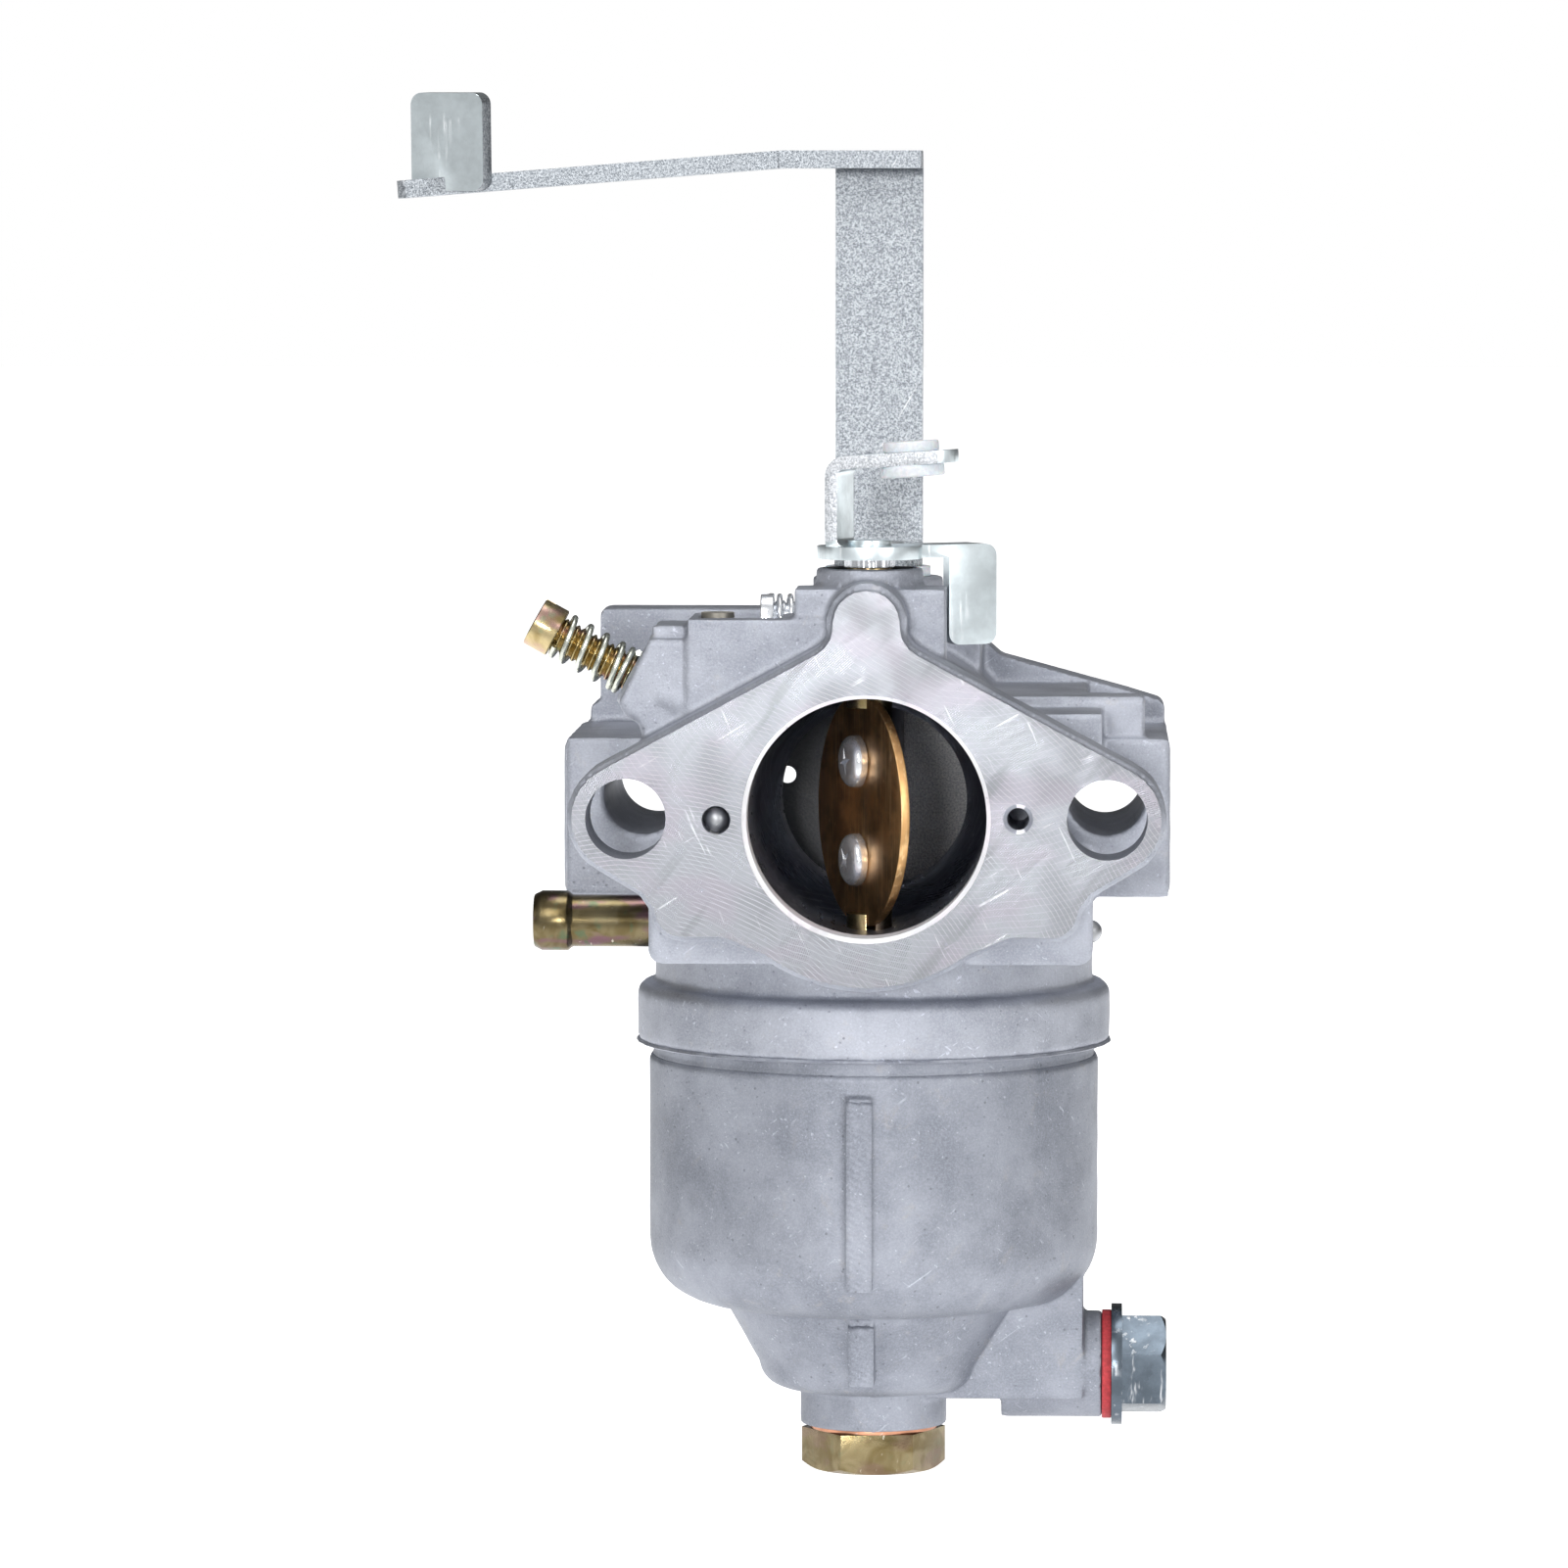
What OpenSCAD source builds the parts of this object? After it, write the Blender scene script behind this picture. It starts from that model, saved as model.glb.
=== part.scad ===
// Carburetor of a small single-cylinder engine: a cast body between two stud flanges, a
// float bowl below, and throttle and choke plates on upright shafts with sheet levers.
// Origin: centre of the bore on the engine-side flange face. +X right, +Y along the bore
// towards the air cleaner, +Z up. The throttle stands part open, the choke closed.

/* [Flanges and bore] */
// Distance between the two stud holes
stud_spacing = 52; // [51.5:0.5:52.5]
// Diameter of the stud holes
stud_hole_d = 8.7; // [8.2:0.1:9]
// Thickness of the engine-side flange
engine_flange_t = 9; // [8.5:0.1:9.4]
// Length of the body from flange face to flange face
body_length = 68; // [67:0.5:69]
// Thickness of the air-cleaner flange
air_flange_t = 7.3; // [6.5:0.1:7.6]
// Diameter of the bore at the throttle plate
throttle_bore_d = 26; // [25.8:0.1:26.4]
// Diameter of the venturi throat
venturi_d = 20.9; // [20:0.1:21.5]
// Diameter of the bore at the choke plate
choke_bore_d = 29; // [28.8:0.1:29.4]
// Diameter of the mouth on the air-cleaner side
mouth_d = 34; // [32:0.5:35]

/* [Throttle] */
// Distance of the throttle shaft from the flange face
throttle_y = 13.7; // [13.5:0.1:14]
// Diameter of the throttle shaft
throttle_shaft_d = 5; // [4.8:0.1:5.1]
// Diameter of the throttle plate
throttle_plate_d = 25.4; // [25:0.1:25.5]
// Angle of the throttle plate from fully open, as it stands
throttle_open_angle = 22.7; // [18:0.1:26]

/* [Choke] */
// Distance of the choke shaft from the flange face
choke_y = 50; // [49.8:0.1:50.2]
// Diameter of the choke shaft
choke_shaft_d = 6; // [5.8:0.1:6.1]
// Diameter of the choke plate
choke_plate_d = 28.4; // [28:0.1:28.5]

/* [Float bowl] */
// Distance of the bowl's axis from the flange face
bowl_y = 33; // [32.8:0.1:33.2]
// Outer radius of the bowl
bowl_r = 25.16; // [25:0.02:25.3]
// Outer radius of the clamping ring on the body above the bowl
ring_r = 26.45; // [26.2:0.05:26.6]
// Height of the joint between body and bowl
joint_z = -27.3; // [-27.4:0.1:-27.2]

/* [Levers] */
// Thickness of the throttle lever's sheet
lever_t = 1.4; // [1.2:0.1:1.5]
// Thickness of the choke lever's sheet
choke_lever_t = 2; // [1.8:0.1:2]
// Height of the choke lever's long arm
choke_arm_z = 72.3; // [70:0.1:74]

/* [Hidden] */

$fn = 64;
eps = 0.05;
run_gap = 0.03;             // radial clearance of a shaft in its bearing
stud_x = stud_spacing / 2;
air_y = body_length;
air_front_y = body_length - air_flange_t;
throttle_r = throttle_bore_d / 2;
choke_r = choke_bore_d / 2;
throttle_shaft_r = throttle_shaft_d / 2;
choke_shaft_r = choke_shaft_d / 2;
boss_top_z = 26.6;          // top of the throttle shaft's boss
collar_h = 1;
lever_z = boss_top_z + collar_h;
choke_top_z = 24;           // top of the choke shaft's tower
choke_foot_z = 25.2;        // underside of the choke lever's foot
plate_face = 1.2;           // front of the throttle plate, from its shaft's axis
throttle_plate_t = 1;
choke_plate_t = 1.2;
pilot_tilt = 28.9;          // the pilot screw runs down to the right
pilot_x = -26.1;
pilot_y = 12;
pilot_z = 15;
idle_y = 26.4;
idle_z = 20.4;
idle_face_x = -6.5;
link_angle = -16;           // direction of the governor arm
tab_angle = 30;             // direction of the stop tab
link_rise = 4;              // slope of the governor arm
link_arm_x = -4.2;
link_arm_z = 37.25;
link_arm_l = 14.3;
link_bush_x = 9.1;          // bush along the governor arm
float_pin_x = -15.5;
float_pin_z = -29.5;
needle_x = -11;
float_top_z = -33;
inlet_y = 25;
inlet_z = -13.3;
drain_z = -63.9;
bowl_foot_z = -70.6;
bolt_ring_h = 0.5;
bolt_z = bowl_foot_z - bolt_ring_h;
ball_r = 1.3;
bowl_wall = 2.2;
pilot_gap = 9.1;            // spring length between the pilot screw's boss and its head
idle_gap = 4.4;             // the same at the idle stop screw
spring_bore_r = 2.15;
hub_r = 5.4;                // hub of the throttle lever
jet_x = -16.7;
jet_y = 15.4;
pocket_z = 19.4;            // floor of the pilot jet's pocket

// A flat drawing in x and z, pushed back along Y from y0 to y1
module along_y(y0, y1) {
    translate([0, y1, 0]) rotate([90, 0, 0]) linear_extrude(height = y1 - y0) children();
}

// A round bar along Y, along X and upright
module rod_y(r, x, z, y0, y1) {
    translate([x, y0, z]) rotate([-90, 0, 0]) cylinder(r = r, h = y1 - y0);
}

module rod_x(r, y, z, x0, x1) {
    translate([x0, y, z]) rotate([0, 90, 0]) cylinder(r = r, h = x1 - x0);
}

module rod_z(r, x, y, z0, z1) {
    translate([x, y, z0]) cylinder(r = r, h = z1 - z0);
}

// A block given by its lowest and highest corners
module block(a, b) {
    translate(a) cube(b - a);
}

// A flat ring, upright axis
module ring(r_in, r_out, h) {
    difference() {
        cylinder(r = r_out, h = h);
        translate([0, 0, -eps]) cylinder(r = r_in, h = h + 2 * eps);
    }
}

// Points of an arc
function arc(cx, cz, r, a0, a1, n = 12) =
    [for (i = [0:n]) let (a = a0 + (a1 - a0) * i / n) [cx + r * cos(a), cz + r * sin(a)]];

// A rectangle with round corners
function rounded(x0, z0, x1, z1, r) = concat(
    arc(x0 + r, z0 + r, r, 180, 270, 6), arc(x1 - r, z0 + r, r, 270, 360, 6),
    arc(x1 - r, z1 - r, r, 0, 90, 6), arc(x0 + r, z1 - r, r, 90, 180, 6));

// Engine flange: two ears, a top lobe and a round bottom, drawn as one half and mirrored
flange_half = concat(
    arc(0, 0, 18.3, -90, -53.4),
    [[15.3, -12.85]],
    arc(19.9, -9.9, 2.95, -90, 0, 6),
    [[24.2, -8]],
    arc(stud_x, 0, 5.9, -62, 62, 16),
    arc(7.15, 20.88, 3.5, 241.9, 180, 8),
    arc(0, 21.1, 3.65, 6, 90));
flange_outline = concat(flange_half,
    [for (i = [len(flange_half) - 2:-1:1]) [-flange_half[i][0], flange_half[i][1]]]);

// Body ---------------------------------------------------------------------------------
module engine_flange() {
    along_y(0, engine_flange_t) polygon(flange_outline);
}

module air_flange() {
    along_y(air_front_y, air_y) {
        polygon(rounded(-36.6, -13.7, 33.5, 4.7, 1.2));
        polygon(concat([[-32.4, 0], [32.8, 0]], arc(31.5, 8.1, 1.3, 0, 60, 4),
            [[28.3, 10.4], [12.5, 14.7], [7.5, 19.7]], arc(-31.5, 18.8, 0.9, 90, 180, 4)));
        polygon(rounded(-33.5, 0, -31, 8.9, 1));
        circle(r = 20);
    }
    block([20, 34, -11.3], [33, 61, 6.5]);
    block([-34.6, 34, -11.3], [-20, 61, 6.5]);
}

// Barrel around the bore, and the block below it that carries the fuel passages
module barrel() {
    rod_y(17.3, 0, 0, 1, air_y - 1);
    along_y(5, 58) polygon(rounded(-23.8, -16.2, 24.5, -5.6, 1.6));
    block([-19, 5, -10], [19, 61, -3]);
    rod_z(24.5, 0, bowl_y, joint_z + 1, -10);
    translate([0, bowl_y, 0]) rotate_extrude() polygon(concat(
        [[0, joint_z], [ring_r - 0.6, joint_z], [ring_r, joint_z + 0.6]],
        arc(ring_r - 1.4, -21.9, 1.4, 0, 90, 5), [[0, -20.5]]));
}

// Boss of the throttle shaft, its platform and the tower of the choke shaft
module shaft_bosses() {
    block([-8, 7.7, 10], [8.4, 17.5, 24.5]);
    rod_z(5.85, 0, throttle_y, 12, boss_top_z);
    rod_z(7.4, 0, choke_y, 10, choke_top_z);
    block([-6.4, choke_y - 2, 10], [11.8, 60.8, 22]);
    rod_z(4.6, 0, throttle_y, -20, -12);
    rod_z(5, 0, choke_y, -20, -12);
}

// Upper left block with the idle circuit, and the slanting boss of the pilot screw
module idle_block() {
    difference() {
        union() {
            block([-19.7, 7.2, 5], [-3, 22, 21.2]);
            block([-23.6, 9.6, 5], [-19, 21, 20.4]);
            along_y(7.6, 16.4) polygon([[-24.2, 18.2], [-27.2, 12], [-26.5, 10.7], [-25, 9.8],
                [-24.6, 8.4], [-24.6, 5], [-14, 5], [-14, 19.05], [-23.9, 19.05]]);
            translate([pilot_x, pilot_y, pilot_z]) rotate([0, 90 + pilot_tilt, 0]) {
                cylinder(r = 3.45, h = 12);
                translate([0, 0, 4]) cylinder(r = 4.6, h = 12);
            }
            block([-31.9, 38, 5], [-14, 61, 6.6]);
        }
        block([-18.6, 11.5, pocket_z], [-9.6, 30, 30]);
    }
}

// Shelves on the upper right, and the boss of the idle stop screw
module shelves() {
    block([8, 35, 5], [24, 61, 11.2]);
    block([23, 35, 5], [30.3, 42, 11.2]);
    block([8, 23.6, 5], [25.5, 36, 9.95]);
    rod_x(3.3, idle_y, idle_z - 0.2, idle_face_x, -1);
    block([idle_face_x, idle_y - 3.2, 10], [-1, idle_y + 3.2, idle_z]);
}

// Float chamber under the body, with the jet column and the two lugs of the float pin
module chamber() {
    rod_z(21.6, 0, bowl_y, joint_z - 1, -20.3);
    rod_z(24.2, 0, bowl_y, joint_z - 1, joint_z + 1.5);
}

module jet_column() {
    rod_z(4.8, 0, bowl_y, -60, -20);
    for (y = [-8.3, 4.7])
        block([float_pin_x - 1.8, bowl_y + y, -31.4], [float_pin_x + 1.8, bowl_y + y + 3.6, -20]);
}

// The way of the air, widest at the choke and narrowest at the venturi
module air_way() {
    rotate([-90, 0, 0]) rotate_extrude() polygon(concat(
        [[0, -1], [throttle_r + 0.45, -1], [throttle_r + 0.45, 1], [throttle_r, 1.5]],
        [[throttle_r, 23], [throttle_r - 0.35, 23.6], [venturi_d / 2 + 0.5, 28.6]],
        [[venturi_d / 2, 30], [venturi_d / 2, 38.5], [venturi_d / 2 + 0.4, 39.6]],
        [[choke_r, 46.5], [choke_r, 61.5], [mouth_d / 2 - 0.5, 66.5]],
        [[mouth_d / 2, air_y + 1], [0, air_y + 1]]));
}

module bores() {
    air_way();
    for (side = [-1, 1])
        rod_y(stud_hole_d / 2, side * stud_x, 0, -1, air_y + 1);
    rod_z(throttle_shaft_r + run_gap, 0, throttle_y, -18, 30);
    rod_z(4.5, 0, throttle_y, boss_top_z - 1.9, 30);
    rod_z(choke_shaft_r + run_gap, 0, choke_y, -18, 30);
    rod_y(1.55, -16.2, -0.1, -1, 4);
    rod_y(1.3, 16.4, 0.1, -1, 15);
    // pilot screw, from its boss down into the bore
    translate([pilot_x, pilot_y, pilot_z]) rotate([0, 90 + pilot_tilt, 0]) {
        translate([0, 0, -1]) cylinder(r = 2.05, h = 14);
        cylinder(r = 0.9, h = 22);
    }
    rod_x(2.05, idle_y, idle_z, -10, 1);
    rod_z(1.8, jet_x, jet_y, 10, 20);
    // fuel from the inlet pipe to the float needle's seat
    rod_x(2.9, inlet_y, inlet_z, -26, -18);
    translate([-18.5, inlet_y, inlet_z]) rotate([0, 0, 46.8]) rotate([0, 90, 0]) cylinder(r = 1.4, h = 11);
    rod_z(3, needle_x, bowl_y, -21, -16);
    rod_z(1.2, needle_x, bowl_y, -17, inlet_z);
    // float chamber side: nozzle, jet and bolt in the column, pin in its lugs
    rod_z(2.4, 0, bowl_y, -50, -9);
    rod_z(3, 0, bowl_y, -61, -50);
    rod_y(0.8, float_pin_x, float_pin_z, bowl_y - 9, bowl_y + 9);
    rod_x(ball_r, 28, -14.6, 23, 26);
    // air jets in the mouth face
    rod_y(1.5, -12.5, -13.5, 62, air_y + 1);
    rod_y(1.5, 12.5, -13.5, 62, air_y + 1);
}

module carburetor_body() {
    color([0.66, 0.69, 0.74]) difference() {
        union() {
            difference() {
                union() {
                    engine_flange();
                    air_flange();
                    barrel();
                    shaft_bosses();
                    idle_block();
                    shelves();
                }
                chamber();
            }
            jet_column();
        }
        bores();
    }
}

// Bowl ---------------------------------------------------------------------------------
module bowl_shell() {
    rotate_extrude() difference() {
        polygon(concat([[0, joint_z], [24.7, joint_z], [24.7, -28.7], [bowl_r, -29]],
            arc(bowl_r - 7, -49.4, 7, 0, -90), [[16.8, -56.4], [16.4, -57.2]],
            [[12.9, -63.5]], arc(9.9, -63.3, 3, 0, -90),
            [[8.2, -66.3], [8.2, bowl_foot_z], [0, bowl_foot_z]]));
        polygon(concat([[0, joint_z + 1], [22.4, joint_z + 1]],
            arc(bowl_r - bowl_wall - 5.4, -48.6, 4.8, 0, -90), [[14.5, -53.4]],
            [[10.2, -61.6]], arc(8.8, -61.6, 1.4, 0, -90), [[0, -63]]));
    }
}

// Web and boss of the drain on the right, and the rib down the front
module bowl_lugs() {
    along_y(-6.1, 6.1) polygon([[6, -67.1], [6, -64], [14, -50], [23.6, -50], [23.6, -67.1]]);
    rod_x(5.95, 0, drain_z, 14.4, 25.7);
    block([-2.3, -bowl_r - 0.55, -52.5], [0.4, -20, -31.1]);
    block([-2.3, -16.9, -64.2], [0.4, -9, -56.5]);
}

module float_bowl() {
    color([0.62, 0.65, 0.7]) translate([0, bowl_y, 0]) difference() {
        union() {
            bowl_shell();
            difference() {
                bowl_lugs();
                rotate_extrude() polygon([[0, -25], [22.9, -25], [22.9, -49], [15.5, -54],
                    [10.9, -63.5], [0, -63.5]]);
            }
        }
        rod_z(3.25, 0, 0, -75, -60);
        rod_x(3, 0, drain_z, 13.5, 30);
        rod_x(1.6, 0, drain_z, 7, 15);
    }
}

module bowl_gasket() {
    color([0.12, 0.12, 0.13]) translate([0, bowl_y, joint_z]) ring(22.5, 24.15, 1.5);
}

// Hexagon across the flats, upright axis, chamfered at its far end by a turned profile
module hex(af, h) {
    intersection() {
        cylinder(d = af / cos(30), h = h, $fn = 6);
        rotate_extrude() polygon([[0, 0], [af * 0.6, 0], [af * 0.6, h - 0.8], [af * 0.5, h], [0, h]]);
    }
}

module bowl_bolt() {
    color([0.75, 0.63, 0.36]) translate([0, bowl_y, 0]) {
        translate([0, 0, bolt_z]) rotate([180, 0, 4.5]) hex(14, 4.5);
        rod_z(2.95, 0, 0, bolt_z - 0.1, -54);
    }
}

module bowl_bolt_washer() {
    color([0.7, 0.35, 0.25]) translate([0, bowl_y, bolt_z]) ring(3.1, 7.2, bolt_ring_h);
}

module drain_bolt() {
    color([0.8, 0.84, 0.88]) translate([26.75, bowl_y, drain_z]) rotate([0, 90, 0]) {
        cylinder(r = 6.8, h = 1.2);
        translate([0, 0, 1.15]) rotate([0, 0, 12]) hex(10, 5);
        translate([0, 0, -12]) cylinder(r = 2.95, h = 12.1);
    }
}

module drain_washer() {
    color([0.72, 0.12, 0.14]) translate([25.7, bowl_y, drain_z]) rotate([0, 90, 0]) ring(3.05, 6.1, 1.05);
}

module fuel_inlet_pipe() {
    color([0.78, 0.68, 0.35]) translate([-19, inlet_y, inlet_z]) rotate([0, -90, 0]) difference() {
        union() {
            cylinder(r = 2.9, h = 18.6);
            translate([0, 0, 14.3]) rotate_extrude() polygon([[1.9, 0], [2.9, 0], [3.35, 0.5],
                [3.35, 3.4], [2.9, 4.3], [1.9, 4.3]]);
        }
        translate([0, 0, -1]) cylinder(r = 1.9, h = 21);
    }
}

// Throttle -----------------------------------------------------------------------------
// Turned to the throttle plate: x along the plate's face normal, y in its plane
module at_throttle_plate() {
    translate([0, throttle_y, 0]) rotate([0, 0, 180 + throttle_open_angle]) children();
}

// A plate screw: pan head and thread, seat at the origin, pointing down
module plate_screw(head_r, head_h, thread_r, length) {
    rotate_extrude() polygon(concat([[0, 0], [head_r, 0], [head_r, head_h * 0.35]],
        arc(head_r * 0.62, head_h * 0.42, head_r * 0.38, 0, 90, 5), [[0, head_h]]));
    translate([0, 0, -length]) cylinder(r = thread_r, h = length + eps);
}

module throttle_shaft() {
    color([0.78, 0.7, 0.42]) difference() {
        union() {
            rod_z(throttle_shaft_r, 0, throttle_y, -17.8, lever_z);
            rod_z(2, 0, throttle_y, lever_z - eps, lever_z + lever_t);
            rod_z(2.4, 0, throttle_y, lever_z + lever_t, lever_z + lever_t + 0.6);
        }
        at_throttle_plate() {
            block([plate_face - throttle_plate_t, -4, -11.3], [4, 4, 11.3]);
            block([plate_face - throttle_plate_t, -4, -14], [plate_face, 4, 14]);
            for (z = [-5.4, 5.4])
                translate([-4, 0, z]) rotate([0, 90, 0]) cylinder(r = 1.5, h = 8);
        }
    }
}

module throttle_plate() {
    color([0.72, 0.48, 0.22]) at_throttle_plate() difference() {
        rotate([0, 90, 0]) translate([0, 0, plate_face - throttle_plate_t])
            cylinder(d = throttle_plate_d, h = throttle_plate_t);
        for (z = [-5.4, 5.4])
            translate([-1, 0, z]) rotate([0, 90, 0]) cylinder(r = 1.5, h = 4);
    }
}

module throttle_plate_screws() {
    color([0.85, 0.87, 0.9]) at_throttle_plate() for (z = [-5.4, 5.4])
        translate([plate_face, 0, z]) rotate([0, 90, 0]) plate_screw(2.87, 1.7, 1.45, 3.4);
}

// From the throttle shaft's axis to the governor arm, which rises to its free end
module at_link_arm() {
    rotate([0, 0, link_angle]) translate([link_arm_x, 0, link_arm_z]) rotate([0, -link_rise, 0]) children();
}

// One sheet blank with its governor arm turned up on the left and its stop tab turned down
module throttle_lever() {
    z = lever_z;
    t = lever_t;
    color([0.8, 0.84, 0.88]) translate([0, throttle_y, 0]) difference() {
        union() {
            translate([0, 0, z]) cylinder(r = hub_r, h = t);
            rotate([0, 0, tab_angle]) {
                block([0, -1.5, z], [13.9, 3.2, z + t]);
                translate([9.15, -0.1, 0]) along_y(-1.4, 0)
                    polygon(rounded(0, 17.95, 5.9, z + t, 1.2));
            }
            rotate([0, 0, link_angle]) {
                block([link_arm_x, -3, z], [0, 3, z + t]);
                block([link_arm_x, -3, z], [link_arm_x + t, 3, link_arm_z + t / 2]);
            }
            at_link_arm() {
                block([0, -3, 0], [link_arm_l - 3, 3, t]);
                rod_z(3, link_arm_l - 3, 0, 0, t);
            }
        }
        rod_z(2, 0, 0, 20, 32);
        at_link_arm() rod_z(2.1, link_bush_x, 0, -1, 3);
    }
}

module throttle_collar() {
    color([0.75, 0.77, 0.8]) translate([0, throttle_y, boss_top_z]) ring(throttle_shaft_r, 2.9, collar_h);
}

module throttle_shaft_seal() {
    color([0.1, 0.1, 0.11]) translate([0, throttle_y, boss_top_z - 1.9])
        ring(throttle_shaft_r + run_gap, 4.5, 1.5);
}

// Snap-in bush: a shank through the arm between two flanges
module governor_link_bush() {
    color([0.93, 0.94, 0.95]) translate([0, throttle_y, 0]) at_link_arm()
        translate([link_bush_x, 0, 0]) difference() {
            union() {
                rod_z(2.1, 0, 0, -1.3, lever_t + 1.2);
                rod_z(3.5, 0, 0, -1.3, 0);
                rod_z(3.05, 0, 0, lever_t, lever_t + 1.2);
            }
            rod_z(1.3, 0, 0, -2, lever_t + 2);
        }
}

// Choke --------------------------------------------------------------------------------
module choke_shaft() {
    color([0.7, 0.71, 0.73]) difference() {
        union() {
            rod_z(choke_shaft_r, 0, choke_y, -17.8, choke_foot_z);
            rod_z(2.4, 0, choke_y, choke_foot_z - eps, choke_foot_z + choke_lever_t);
            rod_z(2.9, 0, choke_y, choke_foot_z + choke_lever_t, choke_foot_z + choke_lever_t + 0.7);
        }
        block([-5, choke_y, -14.3], [5, choke_y + 5, 14.3]);
        for (z = [-6, 6])
            rod_y(1.5, 0, z, choke_y - 5, choke_y + 5);
    }
}

module choke_plate() {
    color([0.6, 0.61, 0.62]) difference() {
        rod_y(choke_plate_d / 2, 0, 0, choke_y, choke_y + choke_plate_t);
        rod_y(1, -10.35, 1.2, choke_y - 1, choke_y + 3);
        for (z = [-6, 6])
            rod_y(1.5, 0, z, choke_y - 1, choke_y + 3);
    }
}

module choke_plate_screws() {
    color([0.85, 0.87, 0.9]) for (z = [-6, 6])
        translate([0, choke_y + choke_plate_t, z]) rotate([-90, 0, 0]) plate_screw(2.87, 1.7, 1.45, 3.6);
}

// Foot on the shaft, upright strip behind it, long arm to the left with its turned-up tab
module choke_lever() {
    t = choke_lever_t;
    strip_y = choke_y + 4.4;
    color([0.8, 0.84, 0.88]) difference() {
        union() {
            rod_z(5, 0, choke_y, choke_foot_z, choke_foot_z + t);
            block([-5, choke_y, choke_foot_z], [5, strip_y + t, choke_foot_z + t]);
            block([-5, strip_y, choke_foot_z], [5, strip_y + t, choke_arm_z]);
            block([-11, strip_y + t - 10, choke_arm_z - t], [3.5, strip_y + t, choke_arm_z]);
            block([-11, strip_y + t - 10, choke_arm_z - t], [5, strip_y, choke_arm_z]);
            translate([-11, strip_y + t - 10, choke_arm_z]) rotate([0, -4.5, 0]) {
                block([-43.8, 0, -t], [0, 10, 0]);
                translate([-38.2, 1.2, 0]) rotate([0, 4.5, -25]) translate([0, 1, 0])
                    along_y(-t, 0) polygon(rounded(-3.4, -1.5, 5.9, 9.6, 1.2));
            }
        }
        rod_z(2.4, 0, choke_y, 20, 30);
    }
}

module choke_washer() {
    color([0.93, 0.94, 0.95]) translate([0, choke_y, choke_top_z]) ring(choke_shaft_r + run_gap, 6, 1.15);
}

// Screws -------------------------------------------------------------------------------
// Slotted cheese head above the origin, thread and tapered tip below it
module slotted_screw(head_r, head_h, thread_r, length, tip_r, tip_l) {
    difference() {
        cylinder(r = head_r, h = head_h);
        block([-head_r - 1, -0.5, head_h - 1.2], [head_r + 1, 0.5, head_h + 1]);
    }
    translate([0, 0, -length]) cylinder(r = thread_r, h = length + eps);
    translate([0, 0, -length - tip_l]) rotate_extrude()
        polygon([[0, 0], [0.2, 0], [tip_r, tip_l + eps], [0, tip_l + eps]]);
}

module at_pilot_screw() {
    translate([pilot_x, pilot_y, pilot_z]) rotate([0, pilot_tilt - 90, 0]) children();
}

module pilot_screw() {
    color([0.8, 0.66, 0.36]) at_pilot_screw() translate([0, 0, pilot_gap])
        slotted_screw(2.75, 2.85, 1.95, pilot_gap + 10, 0.85, 5);
}

module pilot_screw_spring() {
    color([0.85, 0.83, 0.78]) at_pilot_screw() ring(spring_bore_r, 2.75, pilot_gap - eps);
}

module at_idle_screw() {
    translate([idle_face_x, idle_y, idle_z]) rotate([0, -90, 0]) children();
}

module idle_stop_screw() {
    color([0.82, 0.85, 0.88]) at_idle_screw() translate([0, 0, idle_gap])
        slotted_screw(2.75, 1.5, 1.95, idle_gap + 6.6, 1.5, 0.9);
}

module idle_stop_spring() {
    color([0.8, 0.82, 0.84]) at_idle_screw() ring(spring_bore_r, 2.7, idle_gap - eps);
}

// Jets and plugs -----------------------------------------------------------------------
module slotted_jet(head_r, head_h, body_r, length, hole_r) {
    difference() {
        union() {
            translate([0, 0, -length]) cylinder(r = body_r, h = length + eps);
            cylinder(r = head_r, h = head_h);
        }
        translate([0, 0, -length - 1]) cylinder(r = hole_r, h = length + head_h + 2);
        block([-head_r - 1, -0.4, head_h - 0.8], [head_r + 1, 0.4, head_h + 1]);
    }
}

module pilot_jet() {
    color([0.8, 0.66, 0.36]) translate([jet_x, jet_y, pocket_z]) slotted_jet(1.85, 2.2, 1.75, 6, 0.4);
}

module main_nozzle() {
    color([0.78, 0.62, 0.32]) translate([0, bowl_y, 0]) difference() {
        rod_z(2.35, 0, 0, -46, -8);
        rod_z(1.3, 0, 0, -47, -7);
        for (z = [-42, -38, -34])
            rod_x(0.4, 0, z, -3, 3);
    }
}

module main_jet() {
    color([0.78, 0.62, 0.32]) translate([0, bowl_y, -46.1]) rotate([180, 0, 0]) difference() {
        cylinder(r = 2.35, h = 3.8);
        translate([0, 0, -1]) cylinder(r = 0.5, h = 6);
        block([-3, -0.4, 2.9], [3, 0.4, 5]);
    }
}

module pilot_air_jet() {
    color([0.78, 0.62, 0.32]) translate([-12.5, air_y - 1, -13.5]) rotate([-90, 0, 0])
        slotted_jet(1.45, 0.6, 1.45, 4, 0.45);
}

module main_air_jet() {
    color([0.78, 0.62, 0.32]) translate([12.5, air_y - 1, -13.5]) rotate([-90, 0, 0])
        slotted_jet(1.45, 0.6, 1.45, 4, 0.7);
}

// Float --------------------------------------------------------------------------------
module needle_seat() {
    color([0.78, 0.62, 0.32]) translate([needle_x, bowl_y, -22.5]) difference() {
        cylinder(r = 2.95, h = 6.4);
        translate([0, 0, -1]) cylinder(r = 1.75, h = 5.5);
        cylinder(r = 1.1, h = 8);
    }
}

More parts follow.
